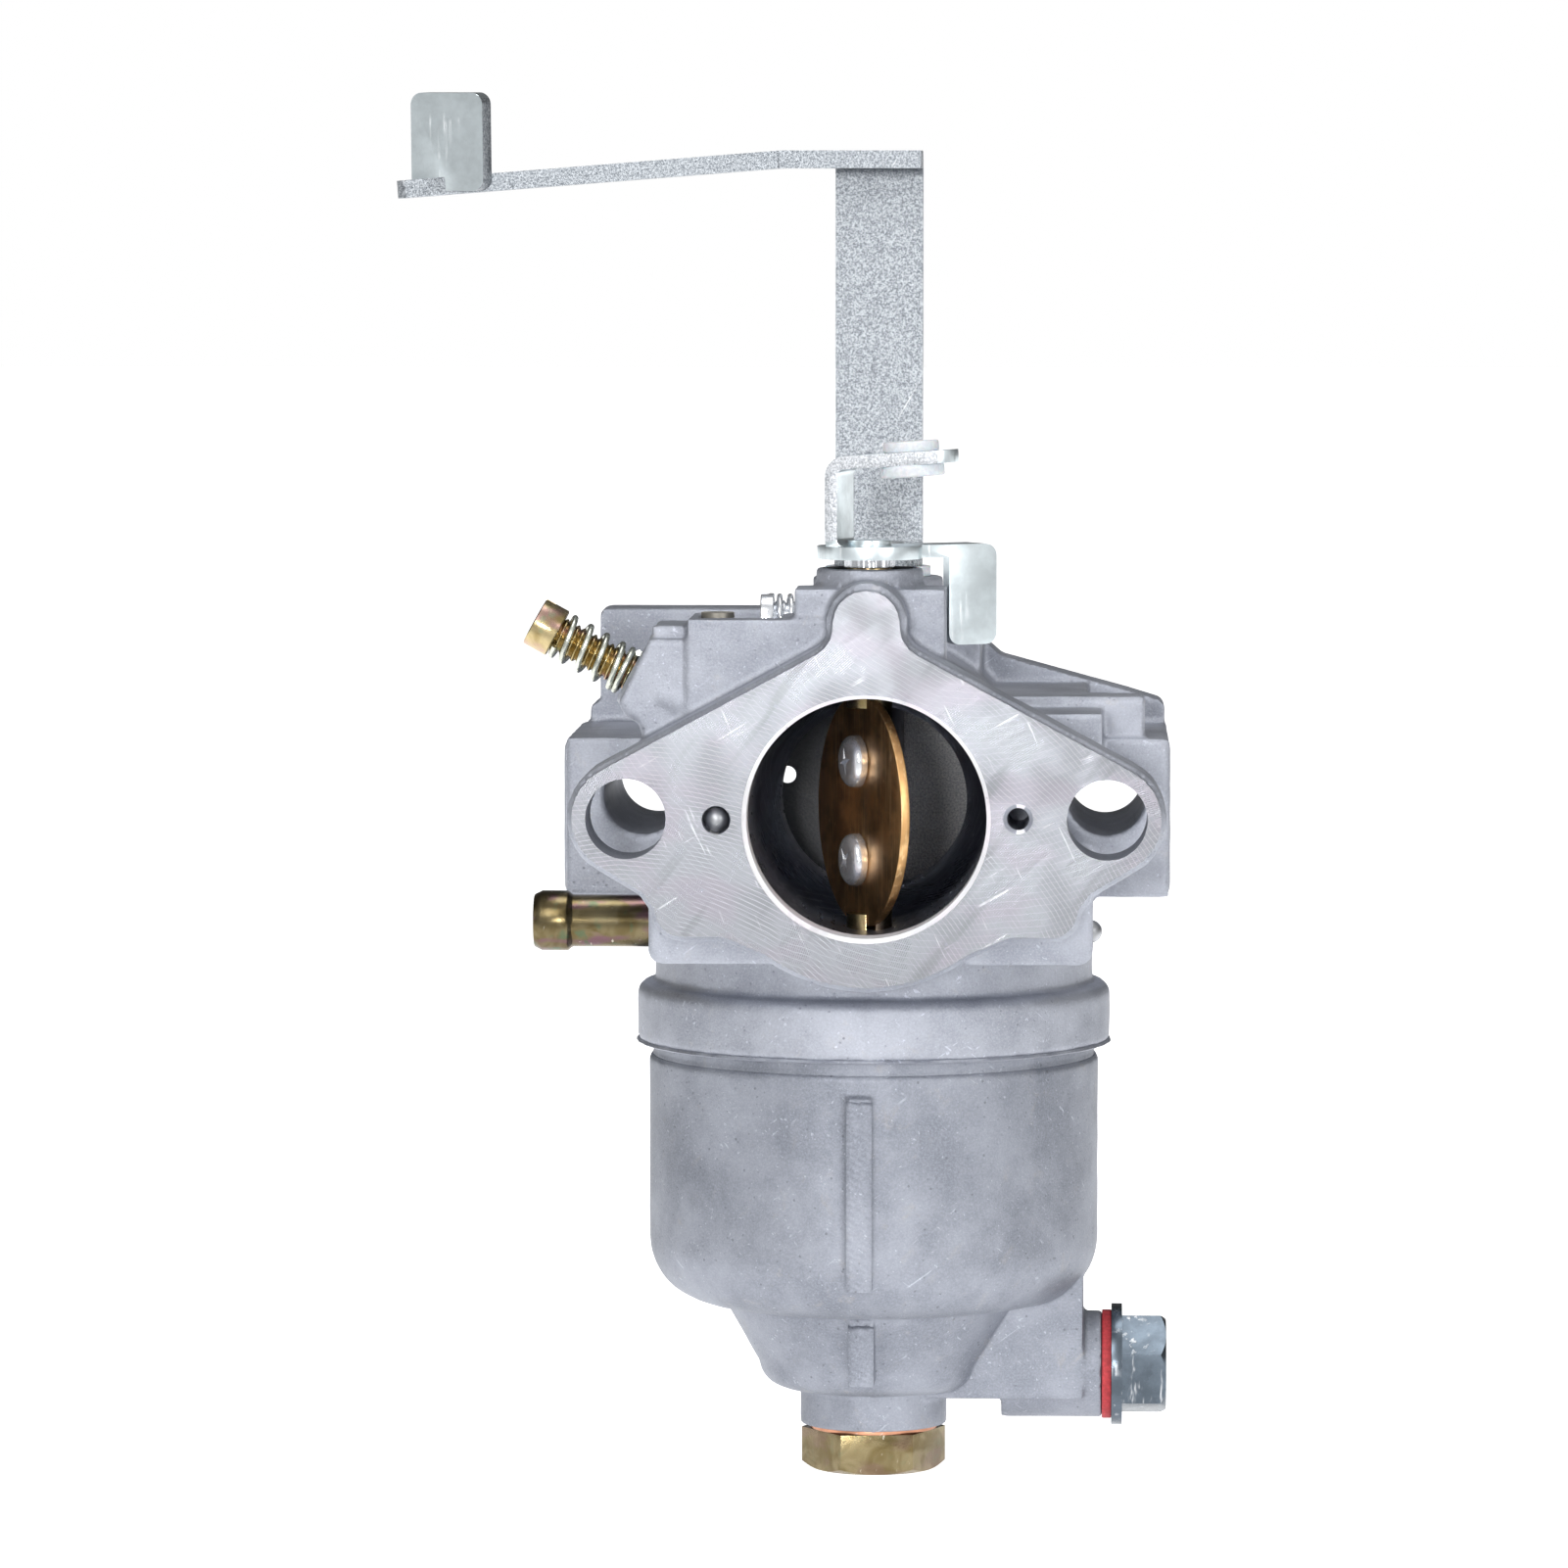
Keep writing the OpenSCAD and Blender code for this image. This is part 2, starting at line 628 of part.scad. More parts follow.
module float_needle() {
    color([0.35, 0.36, 0.38]) translate([needle_x, bowl_y, 0]) {
        rod_z(0.6, 0, 0, -30.7, -28.8);
        rod_z(1.55, 0, 0, -28.9, -20);
        translate([0, 0, -20.05]) rotate_extrude() polygon([[0, 0], [1.55, 0], [0.4, 1.6], [0, 1.6]]);
    }
}

// Wire clip that hangs the needle on the float's arm
module needle_clip() {
    color([0.75, 0.77, 0.8]) translate([needle_x, bowl_y, -29.4]) ring(0.65, 1.15, 0.45);
}

module float() {
    color([0.13, 0.13, 0.14]) difference() {
        union() {
            translate([0, bowl_y, float_top_z - 12]) ring(8.7, 18.1, 12);
            block([float_pin_x, bowl_y - 4.2, float_top_z - 1], [-9.2, bowl_y + 4.2, -31]);
            rod_y(1.7, float_pin_x, float_pin_z, bowl_y - 4.2, bowl_y + 4.2);
            block([float_pin_x - 1.2, bowl_y - 4.2, float_top_z - 1], [float_pin_x + 1.2, bowl_y + 4.2, float_pin_z]);
        }
        rod_y(0.8 + run_gap, float_pin_x, float_pin_z, bowl_y - 6, bowl_y + 6);
    }
}

module float_pin() {
    color([0.75, 0.77, 0.8]) rod_y(0.8, float_pin_x, float_pin_z, bowl_y - 8.3, bowl_y + 8.3);
}

module flange_plug_ball() {
    color([0.6, 0.62, 0.65]) translate([-16.2, 1.9, -0.1]) sphere(r = ball_r);
}

module side_plug_ball() {
    color([0.6, 0.62, 0.65]) translate([24.3, 28, -14.6]) sphere(r = ball_r - 0.03);
}

carburetor_body();
float_bowl();
bowl_gasket();
bowl_bolt();
bowl_bolt_washer();
drain_bolt();
drain_washer();
fuel_inlet_pipe();
throttle_shaft();
throttle_plate();
throttle_plate_screws();
throttle_lever();
throttle_collar();
throttle_shaft_seal();
governor_link_bush();
choke_shaft();
choke_plate();
choke_plate_screws();
choke_lever();
choke_washer();
pilot_screw();
pilot_screw_spring();
idle_stop_screw();
idle_stop_spring();
pilot_jet();
main_nozzle();
main_jet();
pilot_air_jet();
main_air_jet();
needle_seat();
float_needle();
needle_clip();
float();
float_pin();
flange_plug_ball();
side_plug_ball();
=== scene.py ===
"""Looks of the carburetor: cast body and bowl, sheet levers, screws, springs and plates."""
import math

import bmesh
import bpy
from mathutils import Matrix, Vector, noise


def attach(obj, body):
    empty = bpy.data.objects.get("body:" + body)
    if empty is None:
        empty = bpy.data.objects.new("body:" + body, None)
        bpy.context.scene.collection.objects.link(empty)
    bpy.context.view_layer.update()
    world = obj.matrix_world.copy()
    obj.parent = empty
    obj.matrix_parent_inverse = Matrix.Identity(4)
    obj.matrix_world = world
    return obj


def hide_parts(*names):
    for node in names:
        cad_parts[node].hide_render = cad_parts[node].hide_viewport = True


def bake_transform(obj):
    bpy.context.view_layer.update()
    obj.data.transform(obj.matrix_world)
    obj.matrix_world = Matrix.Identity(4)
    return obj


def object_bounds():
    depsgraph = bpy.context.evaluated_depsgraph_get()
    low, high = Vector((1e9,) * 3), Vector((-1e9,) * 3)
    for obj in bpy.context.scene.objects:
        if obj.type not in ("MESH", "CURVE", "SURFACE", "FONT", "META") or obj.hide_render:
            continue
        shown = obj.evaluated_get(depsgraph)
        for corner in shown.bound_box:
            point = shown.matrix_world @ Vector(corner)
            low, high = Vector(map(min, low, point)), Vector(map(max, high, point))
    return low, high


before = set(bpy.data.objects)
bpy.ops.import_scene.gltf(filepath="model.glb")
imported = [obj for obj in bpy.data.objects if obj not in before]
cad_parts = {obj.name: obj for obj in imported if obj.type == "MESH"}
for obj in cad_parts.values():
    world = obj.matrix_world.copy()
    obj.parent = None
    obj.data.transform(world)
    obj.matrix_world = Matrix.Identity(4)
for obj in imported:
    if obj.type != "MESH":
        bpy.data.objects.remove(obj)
cad_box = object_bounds()
MM = 0.001

# Main places in millimetres, shared with the CAD model
DEPTH = 68          # from the milled flange at y = 0 to the air mouth
STUD_X = 26         # the stud holes, left and right of the bore
THROTTLE_Y = 13.7   # the throttle spindle
CHOKE_Y = 50        # the choke spindle
BOWL_Y = 33         # the bowl's axis
JOINT_Z = -27.3     # where the bowl meets the body
PLUG_X, PLUG_Z = -16.2, -0.1    # the steel ball in the flange
HOLE_X, HOLE_Z = 16.4, 0.1      # the small hole in the flange

# Camera, light and floor ---------------------------------------------------------------
scene = bpy.context.scene
scene.view_settings.view_transform = "Standard"
lens = bpy.data.cameras.new("camera")
camera = bpy.data.objects.new("camera", lens)
scene.collection.objects.link(camera)
scene.camera = camera
EYE, AIM = Vector((22.8, -838, 66)) * MM, Vector((-8.85, 0, 3.85)) * MM
camera.location = EYE
camera.rotation_euler = (AIM - EYE).to_track_quat("-Z", "Y").to_euler()
lens.sensor_width = 36
lens.lens = 179


def softbox(name, place, size, watts):
    """A soft lamp aimed at the part; place and size in metres."""
    light = bpy.data.lights.new(name, "AREA")
    light.shape = "RECTANGLE"
    light.size, light.size_y = size
    light.energy = watts
    light.spread = math.radians(50)
    lamp = bpy.data.objects.new(name, light)
    scene.collection.objects.link(lamp)
    lamp.location = place
    lamp.rotation_euler = (-Vector(place)).to_track_quat("-Z", "Y").to_euler()


softbox("key_box", (-0.35, -0.90, 0.65), (0.5, 0.6), 0.38)
softbox("bore_box", (-0.11, -1.0, 0.10), (0.12, 0.12), 0.17)
softbox("right_box", (0.64, -0.82, 0.25), (0.35, 0.9), 0.34)
softbox("left_box", (-0.95, -0.2, 0.2), (0.3, 0.9), 0.08)
softbox("top_box", (0.05, 0.0, 0.95), (0.8, 0.6), 0.5)


# Shader maths ------------------------------------------------------------------------
class Tone:
    """A value that changes over a surface: arithmetic on it adds Math nodes."""

    def __init__(self, finish, socket):
        self.finish, self.socket = finish, socket

    def math(self, operation, first, second=0.0):
        return self.finish.node("ShaderNodeMath", {"operation": operation}, {0: first, 1: second})

    def __add__(self, other):
        return self.math("ADD", self, other)

    def __sub__(self, other):
        return self.math("SUBTRACT", self, other)

    def __rsub__(self, other):
        return self.math("SUBTRACT", other, self)

    def __mul__(self, other):
        return self.math("MULTIPLY", self, other)

    __radd__, __rmul__ = __add__, __mul__

    def over(self, low, high):
        """0 below low, 1 above high, smooth between."""
        return self.finish.node(
            "ShaderNodeMapRange",
            {"interpolation_type": "SMOOTHSTEP", "clamp": True},
            {"Value": self, "From Min": low, "From Max": high},
        )


class Nodes:
    """A node tree that is built up one node at a time."""

    def __init__(self, tree):
        self.tree = tree

    def feed(self, node, sockets):
        for key, value in sockets.items():
            key = key.replace("_", " ") if isinstance(key, str) else key
            if isinstance(value, Tone):
                self.tree.links.new(value.socket, node.inputs[key])
            else:
                node.inputs[key].default_value = value

    def node(self, kind, settings, sockets, out=0):
        node = self.tree.nodes.new(kind)
        for key, value in settings.items():
            setattr(node, key, value)
        self.feed(node, sockets)
        return Tone(self, node.outputs[out])


class Finish(Nodes):
    """One material: a Principled shader and the nodes that feed it."""

    def __init__(self, name, **sockets):
        self.material = bpy.data.materials.new(name)
        self.material.use_nodes = True
        super().__init__(self.material.node_tree)
        self.shader = self.tree.nodes["Principled BSDF"]
        self.place = self.node("ShaderNodeTexCoord", {}, {}, "Object")
        self.feed(self.shader, sockets)

    def mm(self, stretch=(1, 1, 1), turn=(0, 0, 0)):
        """Position on the part in millimetres, stretched along its axes after a turn."""
        turned = self.node(
            "ShaderNodeMapping",
            {},
            {"Vector": self.place, "Rotation": [math.radians(a) for a in turn]},
        )
        scale = [s / MM for s in stretch]
        return self.node("ShaderNodeVectorMath", {"operation": "MULTIPLY"}, {0: turned, 1: scale})

    def grain(self, per_mm, detail=3.0, rough=0.55, where=None, bend=0.0):
        return self.node(
            "ShaderNodeTexNoise",
            {},
            {
                "Vector": where or self.mm(),
                "Scale": per_mm,
                "Detail": detail,
                "Roughness": rough,
                "Distortion": bend,
            },
        )

    def cells(self, per_mm, feature="F1"):
        return self.node("ShaderNodeTexVoronoi", {"feature": feature}, {"Vector": self.mm(), "Scale": per_mm})

    def sine(self, value):
        return self.node("ShaderNodeMath", {"operation": "SINE"}, {0: value})

    def rings(self, centre, wobble=0.4):
        """Arcs about an axis along Y, one per millimetre of radius."""
        moved = self.node(
            "ShaderNodeVectorMath",
            {"operation": "SUBTRACT"},
            {0: self.mm((1, 0, 1)), 1: centre},
        )
        reach = self.node("ShaderNodeVectorMath", {"operation": "LENGTH"}, {0: moved}, "Value")
        return reach + self.grain(0.12) * wobble

    def blend(self, share, low, high):
        """A colour between two, by share."""
        return self.node(
            "ShaderNodeMix",
            {"data_type": "RGBA"},
            {0: share, 6: shade(low), 7: shade(high)},
            2,
        )

    def coat(self, colour, rough, height, depth):
        """Feeds what varies to the shader; depth is the relief in millimetres."""
        relief = {"Strength": 1.0, "Distance": depth * MM, "Height": height}
        bump = self.node("ShaderNodeBump", {}, relief, "Normal")
        self.feed(self.shader, {"Base Color": colour, "Roughness": rough, "Normal": bump})
        return self.material


def shade(colour):
    """A colour with its fourth number, or a colour that varies."""
    return colour if isinstance(colour, Tone) or len(colour) == 4 else (*colour, 1.0)


def streaks(f, per_mm, long, turn):
    """Fine lines along x, long times longer than wide, after a turn."""
    return f.grain(per_mm, 2.0, 0.5, f.mm((1 / long, 1, 1), turn))


def scratches(f, per_mm, turn, low=0.67, high=0.73):
    """Sparse thin scratches."""
    return streaks(f, per_mm, 26, turn).over(low, high) * f.grain(0.25).over(0.50, 0.62)


def cast_metal(name, dark, light, speck, grain=1.0):
    """Die-cast alloy: mottled grey, stains, pits, light specks and handling scratches."""
    f = Finish(name, Metallic=0.8)
    mottle = f.grain(0.09, 5.0, 0.62)
    fine = f.grain(4.2, 4.0, 0.72)
    pits = f.cells(1.1).over(0.10, 0.22)
    stains = f.grain(0.35, 4.0, 0.7, bend=0.6).over(0.58, 0.74)
    nicks = scratches(f, 2.1, (20, 35, 10)) + scratches(f, 2.6, (-50, 15, 60))
    nicks = nicks + scratches(f, 1.9, (5, -40, -35))
    body = f.blend(mottle.over(0.3, 0.7), dark, light)
    body = f.blend(stains * 0.4, body, speck)
    body = f.blend((1 - pits) * f.grain(0.6).over(0.5, 0.62) * 0.6, body, [c * 0.5 for c in dark])
    body = f.blend(fine.over(0.35, 0.75) * 0.34, body, [c * 1.45 for c in light])
    specks = f.grain(2.4, 1.0).over(0.72, 0.77)
    body = f.blend((nicks + specks) * 0.42, body, [min(1, c * 1.8) for c in light])
    height = fine * 0.8 * grain + f.grain(1.1, 3.0) * 0.7 + pits * 0.4 - nicks * 0.3
    return f.coat(body, 0.46 + mottle * 0.14 - nicks * 0.06, height, 0.045)


def machined(name, centre, tint, per_mm=1.6, metal=1.0):
    """A milled face: arcs of the cutter, swirls, colour drift and dings."""
    f = Finish(name, Metallic=metal)
    arcs = f.rings(centre)
    sweep = f.sine(arcs * (3.1416 * per_mm)) * 0.5 + 0.5
    fine = f.sine(arcs * 29.0) * 0.5 + 0.5
    swirl = f.rings([centre[0] * -0.7, 0, centre[2] * 1.3], 0.9)
    cross = f.sine(swirl * 13.0).over(0.72, 1.0)
    other = f.rings([centre[0] * 0.3, 0, centre[2] * -1.1], 1.4)
    lines = f.sine(other * 9.0).over(0.90, 1.0)
    patch = f.grain(0.16, 3.0).over(0.42, 0.66)
    tinge = f.grain(0.11, 2.0, 0.5, f.mm((1, 1, 1.7))).over(0.46, 0.62)
    dings = f.cells(0.42).over(0.04, 0.10)
    marks = scratches(f, 1.5, (0, 30, 0), 0.63, 0.70) + scratches(f, 1.8, (0, -65, 0), 0.63, 0.70)
    cut = cross * patch * 0.7 + lines * 0.22
    colour = f.blend(patch, tint, [c * 0.88 for c in tint])
    colour = f.blend(tinge * 0.5, colour, (tint[0] * 1.02, tint[1] * 0.90, tint[2] * 0.96))
    colour = f.blend(cut * 0.35 + marks * 0.35, colour, (0.85, 0.86, 0.90))
    dull = streaks(f, 0.55, 9, (0, 52, 0)).over(0.55, 0.72)
    colour = f.blend(dull * 0.45, colour, [c * 0.62 for c in tint])
    colour = f.blend((1 - dings) * 0.5, colour, (0.25, 0.26, 0.3))
    height = sweep * 0.3 + fine * 0.35 - cut * 0.5 - marks * 0.5 + dings * 0.6
    return f.coat(colour, 0.27 + patch * 0.08 + fine * 0.05 + cut * 0.10, height, 0.014)


def zinc(name, tint, rough=0.22, cloud=0.25):
    """Bright blue-white plating on sheet: soft clouds, scuffs and fine rolling lines."""
    f = Finish(name, Metallic=1.0)
    haze = f.grain(0.22, 4.0, 0.6)
    scuff = streaks(f, 1.6, 14, (0, 90, 0)).over(0.56, 0.72) * f.grain(0.3).over(0.45, 0.62)
    fine = f.grain(5.0, 3.0, 0.6)
    colour = f.blend(haze.over(0.35, 0.7), tint, [c * (1 - cloud) for c in tint])
    colour = f.blend(scuff * 0.6, colour, (0.97, 0.98, 1.0))
    return f.coat(colour, rough + haze * 0.16 + scuff * 0.18, fine * 0.4 + scuff + haze, 0.012)


def galvanised(name, light, dark, metal=0.95, painted_shade_middle=None):
    """Grainy, speckled plating with darker rubbed spots; the last argument, if given, is the middle of a dark
    patch of painted shade.
    """
    f = Finish(name, Metallic=metal)
    fine = f.grain(4.4, 5.0, 0.75)
    speck = f.cells(2.6, feature="SMOOTH_F1").over(0.15, 0.6)
    rub = f.grain(0.28, 5.0, 0.7, bend=0.4).over(0.60, 0.72)
    colour = f.blend(fine.over(0.36, 0.66), dark, light)
    colour = f.blend(rub * 0.35, colour, [c * 0.5 for c in dark])
    colour = f.blend(scratches(f, 1.3, (0, 60, 0)) * 0.5, colour, (1, 1, 1))
    # painted shade: a dark patch about the given middle, darkest within 11 mm of it and gone beyond 18 mm
    if painted_shade_middle:
        colour = f.blend((1 - f.rings(painted_shade_middle).over(11, 18)) * 0.85, colour, [c * 0.16 for c in dark])
    return f.coat(colour, 0.30 + fine * 0.28, fine + speck * 0.5, 0.03)


def chromate(name, deep=1.0, tinge=1.0):
    """Yellow passivated zinc that drifts to pink and green."""
    f = Finish(name, Metallic=1.0)
    drift = f.grain(0.32, 3.0, 0.5, bend=0.8)
    pink = f.grain(0.22, 2.0, 0.5, f.mm((1, 1, 2.2))).over(0.50, 0.66)
    green = f.grain(0.5, 2.0, 0.5, f.mm((1.4, 1, 1), (0, 0, 40))).over(0.56, 0.70)
    olive, gold, rose, leaf = (
        [c * deep for c in tone]
        for tone in ((0.40, 0.30, 0.13), (0.66, 0.54, 0.30), (0.60, 0.34, 0.38), (0.34, 0.45, 0.26))
    )
    colour = f.blend(drift.over(0.35, 0.65), olive, gold)
    colour = f.blend(pink * 0.6 * tinge, colour, rose)
    colour = f.blend(green * 0.5 * tinge, colour, leaf)
    colour = f.blend(scratches(f, 2.2, (0, 75, 20)) * 0.5, colour, (0.90, 0.86, 0.72))
    height = f.grain(4.0) + streaks(f, 2.5, 10, (0, 90, 0))
    return f.coat(colour, 0.16 + drift * 0.16, height, 0.008)


def brass_sheet(name, colour, worn):
    """Brushed sheet with a darker stain and bright scratches."""
    f = Finish(name, Metallic=1.0)
    brush = streaks(f, 3.0, 26, (0, 90, 0))
    stain = f.grain(0.2, 4.0, 0.6)
    tone = f.blend(stain.over(0.36, 0.66), colour, [c * 0.55 for c in colour])
    tone = f.blend(brush.over(0.5, 0.75) * 0.5 + scratches(f, 1.0, (0, 50, 0)) * 0.6, tone, worn)
    return f.coat(tone, 0.26 + brush * 0.2, brush + f.grain(4.0) * 0.3, 0.01)


def plain_metal(name, colour, rough, metal=1.0):
    """Turned or drawn metal: fine lines, light stains."""
    f = Finish(name, Metallic=metal)
    line = f.grain(4.5, 3.0, 0.6)
    stain = f.grain(0.4, 3.0)
    tone = f.blend(stain.over(0.4, 0.68), colour, [c * 0.72 for c in colour])
    tone = f.blend(scratches(f, 1.8, (0, 40, 0)) * 0.5, tone, (1, 1, 1))
    return f.coat(tone, rough + stain * 0.12, line, 0.008)


def soft_part(name, colour, dark, rough, depth, **sockets):
    """Rubber, fibre, nylon and moulded plastic."""
    f = Finish(name, Metallic=0.0, **sockets)
    fibre = f.grain(2.2, 5.0, 0.7)
    tone = f.blend(fibre.over(0.35, 0.7), dark, colour)
    return f.coat(tone, rough + fibre * 0.1, fibre, depth)


cast_body = cast_metal("cast_body_grey", (0.255, 0.27, 0.312), (0.40, 0.417, 0.467), (0.45, 0.43, 0.41))
cast_bowl = cast_metal("cast_bowl_grey", (0.175, 0.188, 0.22), (0.31, 0.326, 0.37), (0.34, 0.325, 0.31), 0.7)
milled = machined("milled_face", (38, 0, -30), (0.225, 0.232, 0.252))
# Bore lip: partly the bright bare metal of the bore, partly painted highlight, as its near-white, hardly
# metallic colour stands for the bright arcs that its ridges reflect
bore_lip = machined("bore_lip_painted_highlight", (3, 0, 2), (0.86, 0.87, 0.90), 2.2, 0.1)
bore_wall = machined("bore_wall_dark", (3, 0, 2), (0.30, 0.33, 0.40), 2.2)
bright_zinc = zinc("bright_zinc_plate", (0.88, 0.97, 1.0))
cut_zinc = galvanised("zinc_cut_edge", (0.84, 0.86, 0.89), (0.34, 0.36, 0.39), 0.7)
bolt_zinc = zinc("bolt_zinc_plate", (0.125, 0.153, 0.184), 0.18, 0.4)
speckled_zinc = galvanised("speckled_zinc_plate", (0.52, 0.55, 0.58), (0.15, 0.165, 0.185))
# The choke disc: its near-white, non-metal colour partly stands in for the light on its right side, and a
# painted shade darkens its left side about x = -14 mm
disc_zinc = galvanised("choke_disc_plate", (0.92, 0.92, 0.92), (0.50, 0.51, 0.54), 0.0, (-14, 0, 0))
yellow_zinc = chromate("yellow_zinc_plate", 0.82)
bolt_chromate = chromate("bolt_zinc_yellow", 0.38, 0.4)
pipe_chromate = chromate("pipe_zinc_yellow", 0.27, 1.7)
tab_chromate = chromate("spindle_zinc_yellow", 0.6, 0.4)
brass = brass_sheet("brown_brass_sheet", (0.72, 0.42, 0.18), (0.96, 0.70, 0.38))
jet_brass = plain_metal("jet_brass", (0.62, 0.48, 0.24), 0.24)
dull_jet = plain_metal("dull_jet_metal", (0.34, 0.32, 0.28), 0.42)
chrome = plain_metal("bright_steel", (0.84, 0.86, 0.90), 0.12, 0.8)
spring_steel = plain_metal("spring_steel_wire", (0.66, 0.68, 0.60), 0.2)
grey_steel = plain_metal("grey_steel_sheet", (0.46, 0.47, 0.49), 0.36)
red_fibre = soft_part("red_fibre_ring", (0.50, 0.035, 0.045), (0.30, 0.015, 0.02), 0.6, 0.03)
white_nylon = soft_part(
    "white_nylon_bush", (0.70, 0.73, 0.76), (0.58, 0.61, 0.65), 0.32, 0.01,
    Subsurface_Weight=0.35, Subsurface_Scale=0.002,
)
black_rubber = soft_part("black_rubber_seal", (0.03, 0.03, 0.033), (0.018, 0.018, 0.02), 0.6, 0.02)
black_plastic = soft_part("black_float_plastic", (0.035, 0.035, 0.04), (0.02, 0.02, 0.022), 0.42, 0.015)
copper = plain_metal("copper_washer", (0.66, 0.32, 0.20), 0.28)


# Shapes ----------------------------------------------------------------------------
def at(x, y, z, rx=0, ry=0, rz=0):
    """A place in millimetres with turns about x, then y, then z."""
    turn = Matrix.Identity(4)
    for angle, axis in ((rx, "X"), (ry, "Y"), (rz, "Z")):
        turn = Matrix.Rotation(math.radians(angle), 4, axis) @ turn
    return Matrix.Translation((x, y, z)) @ turn


def piece(name, points, faces, place=None):
    """A mesh from points in millimetres."""
    mesh = bpy.data.meshes.new(name)
    place = place or Matrix.Identity(4)
    mesh.from_pydata([(place @ Vector(p)) * MM for p in points], [], faces)
    made = bpy.data.objects.new(name, mesh)
    scene.collection.objects.link(made)
    return made


def turned(name, profile, sides=96, place=None, wave=None):
    """A shape turned about z from (radius, height) pairs; both ends lie on the axis or close."""
    points, rows = [], []
    for r, z in profile:
        if r == 0:
            rows.append([len(points)])
            points.append((0, 0, z))
        else:
            rows.append(list(range(len(points), len(points) + sides)))
            for i in range(sides):
                a = math.tau * i / sides
                reach = r * (wave(a, z) if wave else 1)
                points.append((reach * math.cos(a), reach * math.sin(a), z))
    faces = []
    pairs = list(zip(rows, rows[1:]))
    if profile[0][0] and profile[-1][0]:
        pairs.append((rows[-1], rows[0]))
    for low, high in pairs:
        for i in range(sides):
            j = (i + 1) % sides
            a, b = low[i % len(low)], low[j % len(low)]
            c, d = high[j % len(high)], high[i % len(high)]
            corners = list(dict.fromkeys((a, b, c, d)))
            if len(corners) > 2:
                faces.append(corners)
    return outward(piece(name, points, faces, place))


def tube_faces(rows, sides):
    """The faces of a closed tube from rows of points, with a face over each end."""
    faces = [
        (i * sides + j, i * sides + (j + 1) % sides, (i + 1) * sides + (j + 1) % sides, (i + 1) * sides + j)
        for i in range(rows - 1) for j in range(sides)
    ]
    return faces + [tuple(range(sides)), tuple((rows - 1) * sides + j for j in range(sides))]


def outward(made):
    """Turns every face outwards."""
    shape = bmesh.new()
    shape.from_mesh(made.data)
    bmesh.ops.recalc_face_normals(shape, faces=shape.faces)
    shape.to_mesh(made.data)
    shape.free()
    return made


def cuboid(name, low, high, place=None):
    """A block from one corner to the far one, used as a tool or a part of a sheet."""
    x, y, z = zip(low, high)
    points = [(x[i], y[j], z[k]) for i in (0, 1) for j in (0, 1) for k in (0, 1)]
    faces = [(0, 1, 3, 2), (4, 6, 7, 5), (0, 4, 5, 1), (2, 3, 7, 6), (0, 2, 6, 4), (1, 5, 7, 3)]
    return piece(name, points, faces, place)


def arc(cx, cz, r, start, end, steps=12):
    """Points of an arc, angles in degrees."""
    turns = (math.radians(start + (end - start) * i / steps) for i in range(steps + 1))
    return [(cx + r * math.cos(a), cz + r * math.sin(a)) for a in turns]


def extruded(name, outline, low, high, place=None):
    """A flat drawing in x and z, from one y to another."""
    count = len(outline)
    points = [(x, y, z) for y in (low, high) for x, z in outline]
    faces = [tuple(range(count)), tuple(range(2 * count - 1, count - 1, -1))]
    faces += [(i, (i + 1) % count, count + (i + 1) % count, count + i) for i in range(count)]
    return outward(piece(name, points, faces, place))


def round_plate(x0, z0, x1, z1, r):
    """The outline of an oblong with round corners."""
    left, right, foot, top = x0 + r, x1 - r, z0 + r, z1 - r
    corners = ((left, foot, 180), (right, foot, 270), (right, top, 0), (left, top, 90))
    return [p for cx, cz, a in corners for p in arc(cx, cz, r, a, a + 90, 8)]


def bent_sheet(name, corners, thick, bend, low, high, end, place):
    """Sheet bent along (x, z) corners, between two values of y; end rounds its far corners."""
    path = [Vector(corners[0])]
    for a, b, c in zip(map(Vector, corners), map(Vector, corners[1:]), map(Vector, corners[2:])):
        back, on = (a - b).normalized(), (c - b).normalized()
        half = back.angle(on) / 2
        middle = b + (back + on).normalized() * (bend / math.sin(half))
        start, stop = b + back * (bend / math.tan(half)), b + on * (bend / math.tan(half))
        first = math.atan2(start.y - middle.y, start.x - middle.x)
        swing = math.remainder(math.atan2(stop.y - middle.y, stop.x - middle.x) - first, math.tau)
        turns = (first + swing * i / 10 for i in range(11))
        path += [middle + Vector((math.cos(a), math.sin(a))) * bend for a in turns]
    tip, way = Vector(corners[-1]), (Vector(corners[-1]) - Vector(corners[-2])).normalized()
    insets = [0.0] * len(path)
    for i in range(13):
        a = math.radians(88) * i / 12
        path.append(tip - way * end * (1 - math.sin(a)))
        insets.append(end * (1 - math.cos(a)))
    points, rows = [], len(path)
    for i, p in enumerate(path):
        along = (path[min(i + 1, rows - 1)] - path[max(i - 1, 0)]).normalized()
        out = Vector((-along.y, along.x)) * thick / 2
        near, far = low + insets[i], high - insets[i]
        for side, y in ((1, near), (1, far), (-1, far), (-1, near)):
            q = p + out * side
            points.append((q.x, y, q.y))
    return outward(piece(name, points, tube_faces(rows, 4), place))


def cad_copy(name, node):
    """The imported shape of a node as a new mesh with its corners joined."""
    shape = bmesh.new()
    shape.from_mesh(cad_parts[node].data)
    bmesh.ops.remove_doubles(shape, verts=shape.verts, dist=1e-6)
    mesh = bpy.data.meshes.new(name)
    shape.to_mesh(mesh)
    shape.free()
    made = bpy.data.objects.new(name, mesh)
    scene.collection.objects.link(made)
    return made


